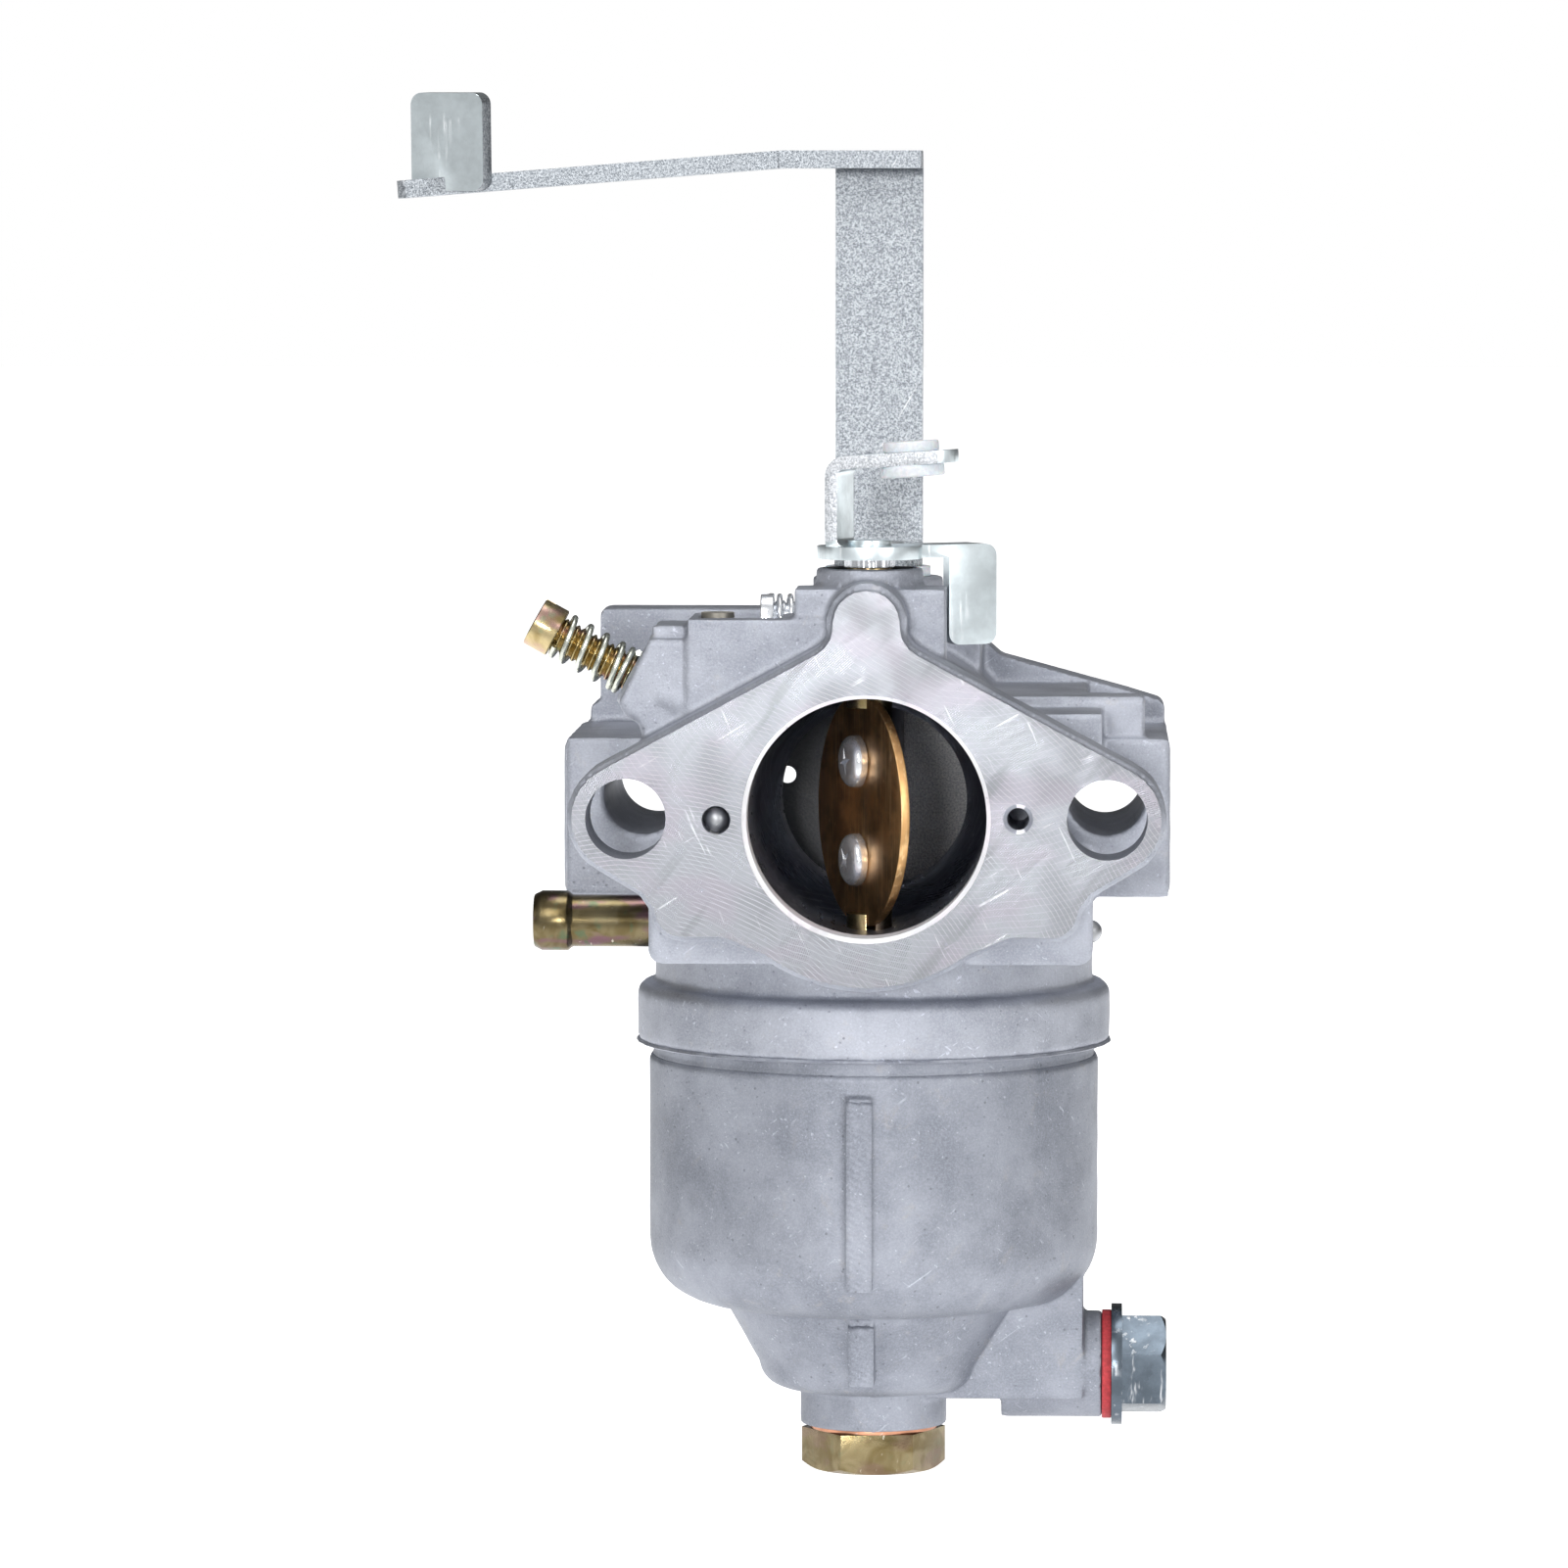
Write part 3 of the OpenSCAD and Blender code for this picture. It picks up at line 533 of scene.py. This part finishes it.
def settle(made):
    """Bakes the modifiers of a piece into its mesh."""
    bpy.context.view_layer.update()
    done = bpy.data.meshes.new_from_object(made.evaluated_get(bpy.context.evaluated_depsgraph_get()))
    made.modifiers.clear()
    made.data = done
    return made


def modify(made, kind, **settings):
    step = made.modifiers.new(kind.lower(), kind)
    for key, value in settings.items():
        setattr(step, key, value)
    return settle(made)


def join_cut(made, tool, operation):
    """Boolean with another solid, which is then removed."""
    modify(made, "BOOLEAN", operation=operation, solver="MANIFOLD", object=tool)
    bpy.data.objects.remove(tool)
    return made


def crease(made, angle):
    """Smooth shading that stays crisp at corners over an angle."""
    mesh = made.data
    mesh.polygons.foreach_set("use_smooth", [True] * len(mesh.polygons))
    shape = bmesh.new()
    shape.from_mesh(mesh)
    for edge in shape.edges:
        edge.smooth = len(edge.link_faces) == 2 and edge.calc_face_angle(0) < math.radians(angle)
    shape.to_mesh(mesh)
    shape.free()
    return made


def finish(made, body, slot, material, *nodes):
    """Material, body and the nodes that a piece stands for; slot is not used."""
    if material:
        made.data.materials.clear()
        made.data.materials.append(material)
    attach(made, body)
    if nodes:
        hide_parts(*nodes)
    return made


def eased(name, node, width):
    """A node's shape with flat faces made whole and its edges rounded."""
    made = cad_copy(name, node)
    shape = bmesh.new()
    shape.from_mesh(made.data)
    bmesh.ops.remove_doubles(shape, verts=shape.verts, dist=8e-6)
    bmesh.ops.dissolve_limit(shape, angle_limit=math.radians(1.2), verts=shape.verts, edges=shape.edges)
    shape.to_mesh(made.data)
    shape.free()
    modify(
        made, "BEVEL", width=width * MM, segments=3, limit_method="ANGLE",
        angle_limit=math.radians(35), use_clamp_overlap=True, miter_outer="MITER_ARC",
    )
    return crease(made, 40)


def rod(name, r, x, y, z, length, direction, sides=128):
    """A plain bar, used to cut or fill a hole."""
    turn = {"y": -90, "z": 0}[direction]
    return turned(name, [(0, 0), (r, 0), (r, length), (0, length)], sides, at(x, y, z, turn))


def roughen(made, keep, depth, per_mm):
    """Moves a cast surface in and out a little; keep says where it is machined."""
    mesh = made.data
    for v, n in zip(mesh.vertices, mesh.vertex_normals):
        if not keep(v.co / MM):
            v.co += n.vector * (noise.noise(v.co / MM * per_mm) * depth * MM)


def pull_faces(made, axis, level, by):
    """Extends the flat faces at a level outwards, so that they can be cut back flat."""
    shape = bmesh.new()
    shape.from_mesh(made.data)
    way = 1 if by > 0 else -1
    flat = [
        f for f in shape.faces
        if f.normal[axis] * way > 0.999 and abs(f.calc_center_median()[axis] - level * MM) < 1e-6
    ]
    grown = bmesh.ops.extrude_face_region(shape, geom=flat)
    for v in grown["geom"]:
        if isinstance(v, bmesh.types.BMVert):
            v.co[axis] += by * MM
    bmesh.ops.delete(shape, geom=flat, context="FACES")
    shape.to_mesh(made.data)
    shape.free()


# Cast body -------------------------------------------------------------------------
LIP_GROOVES = [(13.0 + 0.08 * (i % 2), 1.0 + 0.24 * i) for i in range(20)]
THROAT = [
    (0, -3), (13.45, -3), (13.45, 0.55), *LIP_GROOVES,
    (13.0, 23.0), (12.65, 23.6), (10.95, 28.6), (10.45, 30.0), (10.45, 38.5), (10.85, 39.6),
    (14.5, 46.5), (14.5, 61.5), (16.5, 66.5), (17.0, 71.0), (0, 71.0),
]
LIP_DEPTH = 5.6
BODY_FINISHES = (cast_body, milled, bore_wall, bore_lip, black_rubber)


def flange_edge(grow):
    """The front flange's outline moved out: round foot, two ears and a lobe on top."""
    half = (
        arc(0, 0, 18.3, -90, -53.4) + [(15.3, -12.85)] + arc(19.9, -9.9, 2.95, -90, 0, 6) + [(24.2, -8)]
        + arc(26, 0, 5.9, -62, 62, 16) + arc(7.15, 20.88, 3.5, 241.9, 180, 8) + arc(0, 21.1, 3.65, 6, 90)
    )
    whole = [Vector(p) for p in half + [(-x, z) for x, z in reversed(half[1:-1])]]
    moved = []
    for a, b, c in zip([whole[-1]] + whole, whole, whole[1:] + [whole[0]]):
        first, second = (b - a).normalized(), (c - b).normalized()
        out = Vector((first.y + second.y, -first.x - second.x)).normalized()
        moved.append(tuple(b + out * grow / max(0.6, out.dot(Vector((first.y, -first.x))))))
    return moved


def flash_line(made, keep):
    """A fine raised line where the halves of the mould met, near the middle of the front."""
    mesh = made.data
    for v, n in zip(mesh.vertices, mesh.vertex_normals):
        p = v.co / MM
        if keep(p) and n.vector.y < -0.2:
            v.co += n.vector * (0.11 * MM * math.exp(-(((p.x - 0.25) / 0.22) ** 2)))


def body_finish(middle, facing):
    """Which of the body's finishes a face has, by its middle and its normal."""
    reach = math.hypot(middle.x, middle.z)
    if abs(facing.y) > 0.99 and (middle.y < 0.02 or middle.y > DEPTH - 0.02):
        return milled
    # the bore: its first 5.6 mm take the lip's colour, which is partly painted highlight
    if 9 < reach < 17.1 and facing.x * middle.x + facing.z * middle.z < 0:
        return bore_lip if middle.y < LIP_DEPTH else bore_wall
    # painted shade: the casting's faces round the spindle at the top of the boss take the black rubber
    # finish, for the dark shade under the lever's hub
    if middle.z > 24.4 and math.hypot(middle.x, middle.y - THROTTLE_Y) < 5.2:
        return black_rubber
    return cast_body


def body_casting():
    """The cast body: rounded and roughened, then milled and bored crisp again."""
    made = cad_copy("body_casting", "carburetor_body")

    def fill(*shape):
        join_cut(made, rod("fill", *shape, "y"), "UNION")

    def cut(tool):
        join_cut(made, tool, "DIFFERENCE")

    # metal left on for milling, and the holes closed so that their rims stay sharp
    pull_faces(made, 1, 0, -0.3)
    pull_faces(made, 1, DEPTH, 0.6)
    pull_faces(made, 2, JOINT_Z, -0.7)
    fill(14.0, 0, -0.3, 0, 60)
    fill(17.2, 0, 58, 0, 10.6)
    join_cut(made, extruded("rim", flange_edge(0.5), 0.9, 8.6), "UNION")
    fill(4.4, 0, 0.9, 21.1, 7.6)
    for side in (-STUD_X, STUD_X):
        fill(4.7, side, -0.3, 0, 6)
        fill(4.7, side, 60.7, 0, 7.9)
    fill(1.8, PLUG_X, -0.3, PLUG_Z, 4.8)
    fill(1.6, HOLE_X, -0.3, HOLE_Z, 15.8)

    # the cast skin
    modify(made, "REMESH", mode="VOXEL", voxel_size=0.33 * MM, adaptivity=0.0)
    modify(made, "SMOOTH", factor=0.5, iterations=2)
    roughen(made, lambda p: p.y < 0.5 or p.y > DEPTH - 0.5, 0.06, 0.4)
    flash_line(made, lambda p: -27 < p.z < -14 and p.y < 20)

    # milled faces, the rim over the bowl, and the holes
    cut(cuboid("cut", (-60, -9, -60), (60, 0, 60)))
    cut(cuboid("cut", (-60, DEPTH, -60), (60, 80, 60)))
    over_bowl = at(0, BOWL_Y, 0)
    cut(turned("cut", [(21.7, JOINT_Z), (30, JOINT_Z), (30, -29.5), (21.7, -29.5)], 192, over_bowl))
    burr = [(26.0, -26.8), (26.42, -26.9), (26.6, -27.15), (26.35, JOINT_Z), (26.0, JOINT_Z)]
    rough = turned("burr", burr, 420, over_bowl, lambda a, z: 1 + 0.007 * noise.noise((a * 16, 0, z)))
    join_cut(made, rough, "UNION")
    cut(turned("cut", THROAT, 192, at(0, 0, 0, -90)))
    for side in (-STUD_X, STUD_X):
        cut(rod("cut", 4.35, side, -3, 0, 74, "y", 96))
    cut(rod("cut", 1.55, PLUG_X, -2, PLUG_Z, 6, "y", 48))
    sink = [(0, -1), (1.62, -1), (1.62, 0), (1.2, 0.4), (1.2, 14), (0, 14)]
    cut(turned("cut", sink, 48, at(HOLE_X, 0, HOLE_Z, -90)))

    mesh = made.data
    mesh.materials.clear()
    for material in BODY_FINISHES:
        mesh.materials.append(material)
    for face in mesh.polygons:
        face.material_index = BODY_FINISHES.index(body_finish(face.center / MM, face.normal))
    return finish(crease(made, 38), "casting", "cast_body", None, "carburetor_body")


def rib(name, x0, x1, y, z0, z1, deep):
    """A rib down the bowl with slanting file marks across its front."""
    across, rows = 10, int((z1 - z0) / 0.13)
    points = []
    for i in range(rows + 1):
        z = z0 + (z1 - z0) * i / rows
        for j in range(across + 1):
            x = x0 + (x1 - x0) * j / across
            edge = min(j, across - j) / across
            fall = 0.16 * max(0, 1 - edge * 8) + 0.9 * max(0, (z - z1 + 1.0)) ** 2
            mark = (z * 1.25 + x * 0.75 + 0.25 * noise.noise((x, 0, z))) % 1
            points.append((x, y + fall + 0.12 * mark, z))
    front = len(points)
    points += [(x, y + deep, z) for x, _, z in points]
    wide = across + 1
    faces = []
    for i in range(rows):
        for j in range(across):
            a = i * wide + j
            faces.append((a, a + 1, a + 1 + wide, a + wide))
            faces.append(tuple(front + b for b in (a + wide, a + wide + 1, a + 1, a)))
        for a, b in ((i * wide, i * wide + wide), (i * wide + across + wide, i * wide + across)):
            faces.append((a, b, front + b, front + a))
    for j in range(across):
        faces.append((j + 1, j, front + j, front + j + 1))
        a = rows * wide + j
        faces.append((a, a + 1, front + a + 1, front + a))
    return outward(piece(name, points, faces))


def bowl_casting():
    """The float bowl: a cast skin with a crisp joint and groove, and two ribs in front."""
    made = cad_copy("bowl_casting", "float_bowl")
    pull_faces(made, 2, JOINT_Z, 0.8)
    modify(made, "REMESH", mode="VOXEL", voxel_size=0.30 * MM, adaptivity=0.0)
    modify(made, "SMOOTH", factor=0.5, iterations=2)
    roughen(made, lambda p: p.z > -27.6 or p.z < -70, 0.05, 0.3)
    flash_line(made, lambda p: p.z < -56)
    join_cut(made, cuboid("cut", (-40, -10, JOINT_Z), (40, 70, -20)), "DIFFERENCE")
    groove = [(24.75, -26), (30, -26), (30, -28.75), (24.75, -28.75)]
    join_cut(made, turned("cut", groove, 192, at(0, BOWL_Y, 0)), "DIFFERENCE")
    for y, foot, top, deep in ((6.95, -52.4, -31.1, 4.2), (15.75, -64.1, -56.9, 3.2)):
        join_cut(made, rib("rib", -2.35, 0.45, y, foot, top, deep), "UNION")
    return finish(crease(made, 40), "casting", "cast_bowl", cast_bowl, "float_bowl")


body_casting()
bowl_casting()


# Plates, levers and turned parts -------------------------------------------------------
def thread(name, major, minor, pitch, length, place):
    """A screw thread: the radius follows a helix round the bar."""
    rows, turns = max(8, int(length / pitch * 10)), 40
    points = []
    for i in range(rows + 1):
        z = -length * i / rows
        for j in range(turns):
            share = (z / pitch - j / turns) % 1
            tooth = 1 - abs(2 * share - 1)
            end = min(1, (length + z) / pitch + 0.35)
            r = minor + (major - minor) * min(1, tooth * 1.25) * end
            a = math.tau * j / turns
            points.append((r * math.cos(a), r * math.sin(a), z))
    return crease(outward(piece(name, points, tube_faces(rows + 1, turns), place)), 60)


def coil(name, radius, wire, height, turns, close, place):
    """A compression spring; close gives the turns that touch at its foot and its head."""
    sides, around = 12, 30
    squeezed = 2.05 * wire
    pitch = (height - 2 * wire - squeezed * sum(close)) / turns
    rings = int((turns + sum(close)) * around)
    points = []
    for i in range(rings + 1):
        turn = i / around
        risen = min(max(turn - close[0], 0), turns)
        z = wire + squeezed * (turn - risen) + pitch * risen
        a = math.tau * turn
        for j in range(sides):
            b = math.tau * j / sides
            reach = radius + wire * math.cos(b)
            points.append((reach * math.cos(a), reach * math.sin(a), z + wire * math.sin(b)))
    return crease(outward(piece(name, points, tube_faces(rings + 1, sides), place)), 60)


def finish_spring(made, material, node):
    """A spring stands on the casting under its screw's head, at that height."""
    made.data.materials.append(material)
    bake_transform(made)
    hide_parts(node)


def soften(made, width, segments=2):
    """Rounds the sharp edges of a piece."""
    return modify(
        made, "BEVEL", width=width * MM, segments=segments, limit_method="ANGLE", angle_limit=math.radians(35)
    )


def pan_head(name, r, h, place, turn):
    """A pan head with a cross recess."""
    quarter_turn = [math.pi / 2 * i / 8 for i in range(9)]
    dome = [(r - 0.38 * r * (1 - math.cos(a)), h * (0.42 + 0.58 * math.sin(a))) for a in quarter_turn]
    outline = [(0, 0), (r - 0.12, 0), (r, 0.12)] + dome + [(r * 0.3, h * 1.01), (0, h * 1.015)]
    made = turned(name, outline, 72, place)
    recess = [(0, h * 0.25), (0.30 * r, h * 0.25), (0.62 * r, h * 1.3), (0, h * 1.3)]
    for quarter in (0, 90):
        thin = at(0, 0, 0, 0, 0, turn + quarter) @ Matrix.Diagonal((1, 0.27, 1, 1))
        join_cut(made, turned("cut", recess, 4, place @ thin), "DIFFERENCE")
    return soften(made, 0.05)


def join(name, *parts):
    """Several separate solids as one piece."""
    shape = bmesh.new()
    for part in parts:
        shape.from_mesh(part.data)
        bpy.data.objects.remove(part)
    mesh = bpy.data.meshes.new(name)
    shape.to_mesh(mesh)
    shape.free()
    made = bpy.data.objects.new(name, mesh)
    scene.collection.objects.link(made)
    return crease(made, 35)


def plate_screws(name, length, seats):
    """A pair of pan head screws; a seat is a place for the head, one for the thread and the recess's turn."""
    heads = [pan_head("head", 2.87, 1.7, head, turn) for head, _, turn in seats]
    return join(name, *heads, *(thread("thread", 1.45, 1.2, 0.5, length, shank) for _, shank, _ in seats))


THROTTLE_REST = at(0, THROTTLE_Y, 0, 0, 0, 202.7)
throttle_screws = plate_screws("throttle_screw_pair", 3.4, [
    (THROTTLE_REST @ at(1.2, 0, z, 0, 90), THROTTLE_REST @ at(1.25, 0, z, 0, 90), turn)
    for z, turn in ((5.4, 12), (-5.4, 38))
])
finish(throttle_screws, "throttle", "steel", chrome, "throttle_plate_screws")
choke_screws = plate_screws("choke_screw_pair", 3.6, [
    (at(0, CHOKE_Y + 1.2, z, -90), at(0, CHOKE_Y + 1.25, z, -90), turn) for z, turn in ((6, 30), (-6, 50))
])
finish(choke_screws, "choke", "steel", chrome, "choke_plate_screws")


def slotted_head(name, r, h, place, deep):
    """A cheese head with rounded rims and a driver slot."""
    outline = [(0, 0), (r - 0.12, 0), (r, 0.12), (r, h - 0.12), (r - 0.12, h), (0, h)]
    made = turned(name, outline, 96, place)
    join_cut(made, cuboid("cut", (-r - 1, -0.5, h - deep), (r + 1, 0.5, h + 1), place), "DIFFERENCE")
    return soften(made, 0.06)


def slotted_screw(name, place, head_h, slot_deep, length, tip_r, tip_l):
    """A screw with a slotted head above its place, a thread below it and a turned tip."""
    outline = [(0, 0.1), (tip_r, 0.1), (tip_r * 0.9, -0.3), (0.25, 0.1 - tip_l), (0, 0.1 - tip_l)]
    return join(
        name,
        slotted_head("head", 2.75, head_h, place, slot_deep),
        thread("thread", 1.95, 1.6, 0.7, length, place @ at(0, 0, 0.05)),
        turned("tip", [(r, z - length) for r, z in outline], 40, place),
    )


PILOT_BOSS = at(-26.1, 12, 15, 0, 28.9 - 90)
pilot_screw = slotted_screw("pilot_needle_screw", PILOT_BOSS @ at(0, 0, 9.1), 2.85, 1.2, 18.9, 0.85, 5.1)
finish(pilot_screw, "pilot_needle", "yellow_zinc", yellow_zinc, "pilot_screw")
pilot_spring = coil("pilot_needle_spring", 2.42, 0.34, 9.05, 3.4, (1.6, 0.7), PILOT_BOSS)
finish_spring(pilot_spring, spring_steel, "pilot_screw_spring")

IDLE_BOSS = at(-6.5, 26.4, 20.4, 0, -90)
idle_screw = slotted_screw("idle_stop_bolt", IDLE_BOSS @ at(0, 0, 4.4), 1.5, 0.9, 10.9, 1.5, 1.0)
finish(idle_screw, "idle_screw", "steel", chrome, "idle_stop_screw")
idle_spring = coil("idle_stop_coil", 2.40, 0.33, 4.35, 2.3, (0.5, 0.5), IDLE_BOSS)
finish_spring(idle_spring, chrome, "idle_stop_spring")

# name, node, body, slot, finish, edge radius in mm
EASED = [
    ("throttle_disc", "throttle_plate", "throttle", "brass", brass, 0.12),
    ("choke_disc", "choke_plate", "choke", "grey_steel", disc_zinc, 0.15),
    ("throttle_spindle", "throttle_shaft", "throttle", "yellow_zinc", tab_chromate, 0.12),
    ("choke_spindle", "choke_shaft", "choke", "steel", grey_steel, 0.15),
    ("bowl_hex_bolt", "bowl_bolt", "casting", "yellow_zinc", bolt_chromate, 0.18),
    ("bowl_bolt_ring", "bowl_bolt_washer", "casting", "copper", copper, 0.1),
    ("drain_hex_bolt", "drain_bolt", "casting", "bright_zinc", bolt_zinc, 0.22),
    ("drain_fibre_ring", "drain_washer", "casting", "red_fibre", red_fibre, 0.12),
    ("inlet_pipe", "fuel_inlet_pipe", "casting", "yellow_zinc", pipe_chromate, 0.15),
    ("link_bush", "governor_link_bush", "throttle", "white_nylon", white_nylon, 0.2),
    ("choke_thrust_ring", "choke_washer", "casting", "white_nylon", white_nylon, 0.15),
    ("spindle_seal", "throttle_shaft_seal", "casting", "black_rubber", black_rubber, 0.15),
    ("bowl_seal", "bowl_gasket", "casting", "black_rubber", black_rubber, 0.1),
    ("idle_jet", "pilot_jet", "casting", "brass", dull_jet, 0.1),
    ("idle_air_bleed", "pilot_air_jet", "casting", "brass", jet_brass, 0.08),
    ("main_air_bleed", "main_air_jet", "casting", "brass", jet_brass, 0.08),
    ("float_moulding", "float", "float_arm", "black_plastic", black_plastic, 0.3),
]
for name, node, body, slot, material, edge in EASED:
    finish(eased(name, node, edge), body, slot, material, node)
spindle = bpy.data.objects["throttle_spindle"].data
spindle.materials.append(bright_zinc)
for face in spindle.polygons:
    face.material_index = int(face.center.z > 28.9 * MM)


def throttle_lever():
    """Hub, arm with the stop tab hanging from it, and the governor arm on its upright."""
    arm_turn = -16
    hub, tab, arm = (at(0, THROTTLE_Y, 0, 0, 0, turn) for turn in (0, 30, arm_turn))
    made = turned("throttle_lever_sheet", [(0, 27.6), (5.75, 27.6), (5.75, 29.0), (0, 29.0)], 96, hub)
    join_cut(made, cuboid("arm", (0.3, -1.46, 27.6), (13.9, 3.2, 29.0), tab), "UNION")
    join_cut(made, extruded("tab", round_plate(9.15, 17.95, 15.1, 28.98, 1.3), -1.5, -0.1, tab), "UNION")
    corners = [(1, 28.3), (-3.5, 28.3), (-3.5, 38.0), (10.02, 38.95)]
    join_cut(made, bent_sheet("upright", corners, 1.4, 1.5, -3, 3, 2.95, arm), "UNION")
    join_cut(made, rod("cut", 2.0, 0, THROTTLE_Y, 20, 12, "z", 64), "DIFFERENCE")
    tilt = arm @ at(-4.2, 0, 37.25, 0, -4) @ at(9.1, 0, -1)
    join_cut(made, turned("cut", [(0, 0), (2.1, 0), (2.1, 4), (0, 4)], 64, tilt), "DIFFERENCE")
    soften(made, 0.2, 3)
    finish(crease(made, 40), "throttle", "bright_zinc", bright_zinc, "throttle_lever")
    made.data.materials.append(cut_zinc)
    across = Vector((math.sin(math.radians(arm_turn)), -math.cos(math.radians(arm_turn)), 0))
    for face in made.data.polygons:
        face.material_index = int(face.normal.dot(across) > 0.9 and face.center.z > 29.6 * MM)


throttle_lever()


def choke_lever():
    """Foot on the spindle, upright strip, long arm to the left with its turned-up tab."""
    foot = [(0, 25.2), (5, 25.2), (5, 27.2), (0, 27.2)]
    made = turned("choke_lever_sheet", foot, 96, at(0, CHOKE_Y, 0))
    corners = [(CHOKE_Y, 26.2), (55.4, 26.2), (55.4, 71.3), (48, 71.3)]
    strip = bent_sheet("strip", corners, 2, 2.1, -5, 5, 0.4, at(0, 0, 0, 0, 0, 90))
    join_cut(made, strip, "UNION")
    fall, reach = 4.5, 43.7
    tip = (-11 - reach * math.cos(math.radians(fall)), 71.3 - reach * math.sin(math.radians(fall)))
    arm = bent_sheet("arm", [(4.9, 71.3), (-11, 71.3), tip], 2, 14, 46.4, 56.4, 1.2, at(0, 0, 0))
    join_cut(made, arm, "UNION")
    place = at(-11, 46.4, 72.3, 0, -fall) @ at(-38.2, 2.2, 0, 0, fall, -25)
    join_cut(made, extruded("tab", round_plate(-3.4, -1.5, 5.9, 9.6, 1.4), -2, 0, place), "UNION")
    join_cut(made, rod("cut", 2.4, 0, CHOKE_Y, 20, 10, "z", 64), "DIFFERENCE")
    soften(made, 0.25, 3)
    finish(crease(made, 40), "choke", "speckled_zinc", speckled_zinc, "choke_lever")
    made.data.materials.append(bright_zinc)
    for face in made.data.polygons:
        face.material_index = int(face.center.x < -44.5 * MM and face.center.z > 70 * MM)


choke_lever()

collar_edge = [(2.53, 26.62), (2.66, 26.6), (2.8, 26.7), (2.8, 27.5), (2.66, 27.6), (2.53, 27.58)]
collar = turned(
    "fluted_collar", collar_edge, 144, at(0, THROTTLE_Y, 0),
    lambda a, z: 1 - 0.05 * (0.5 + 0.5 * math.cos(12 * a)),
)
finish(crease(collar, 40), "throttle", "steel", chrome, "throttle_collar")

# Nodes kept as packed, each with its finish
KEPT = {
    "main_nozzle": jet_brass, "main_jet": jet_brass, "needle_seat": jet_brass, "float_needle": grey_steel,
    "needle_clip": chrome, "float_pin": chrome, "flange_plug_ball": grey_steel, "side_plug_ball": grey_steel,
}
for node, material in KEPT.items():
    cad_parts[node].data.materials.clear()
    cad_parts[node].data.materials.append(material)

# Floor and surroundings ------------------------------------------------------------------
floor_z = cad_box[0][2] / MM
floor_corners = [(x, y, floor_z) for x, y in ((-6000, -6000), (6000, -6000), (6000, 6000), (-6000, 6000))]
floor = piece("floor", floor_corners, [(0, 1, 2, 3)])
ground = Finish("pale_floor", Roughness=0.7, Emission_Strength=0.9)
pale = ground.blend(ground.grain(0.004).over(0.3, 0.7), (0.93, 0.935, 0.94), (0.95, 0.953, 0.957))
behind = ground.node("ShaderNodeSeparateXYZ", {}, {0: ground.place}, "Y").over(-0.16, -0.04)
glow = ground.blend(behind, (0.05, 0.05, 0.055), (1, 1, 1))
ground.feed(ground.shader, {"Base Color": pale, "Emission Color": glow})
floor.data.materials.append(ground.material)

# The sky is bright on the viewer's side and dim behind; it is plain white where it is seen directly
scene.world = bpy.data.worlds.new("sky")
scene.world.use_nodes = True
sky = Nodes(scene.world.node_tree)
sky.tree.nodes.remove(sky.tree.nodes["Background"])
dim, bright, white = (
    sky.node("ShaderNodeBackground", {}, {"Color": (1, 1, 1, 1), "Strength": s}) for s in (0.12, 0.80, 1.0)
)
way = sky.node("ShaderNodeTexCoord", {}, {}, "Generated")
viewer_side = (0.25, -0.9, 0.35)
facing = sky.node("ShaderNodeVectorMath", {"operation": "DOT_PRODUCT"}, {0: way, 1: viewer_side}, "Value")
lit = sky.node("ShaderNodeMixShader", {}, {0: facing.over(-0.1, 0.85), 1: dim, 2: bright})
seen = sky.node("ShaderNodeLightPath", {}, {}, "Is Camera Ray")
surface = sky.node("ShaderNodeMixShader", {}, {0: seen, 1: lit, 2: white})
sky.feed(sky.tree.nodes["World Output"], {"Surface": surface})
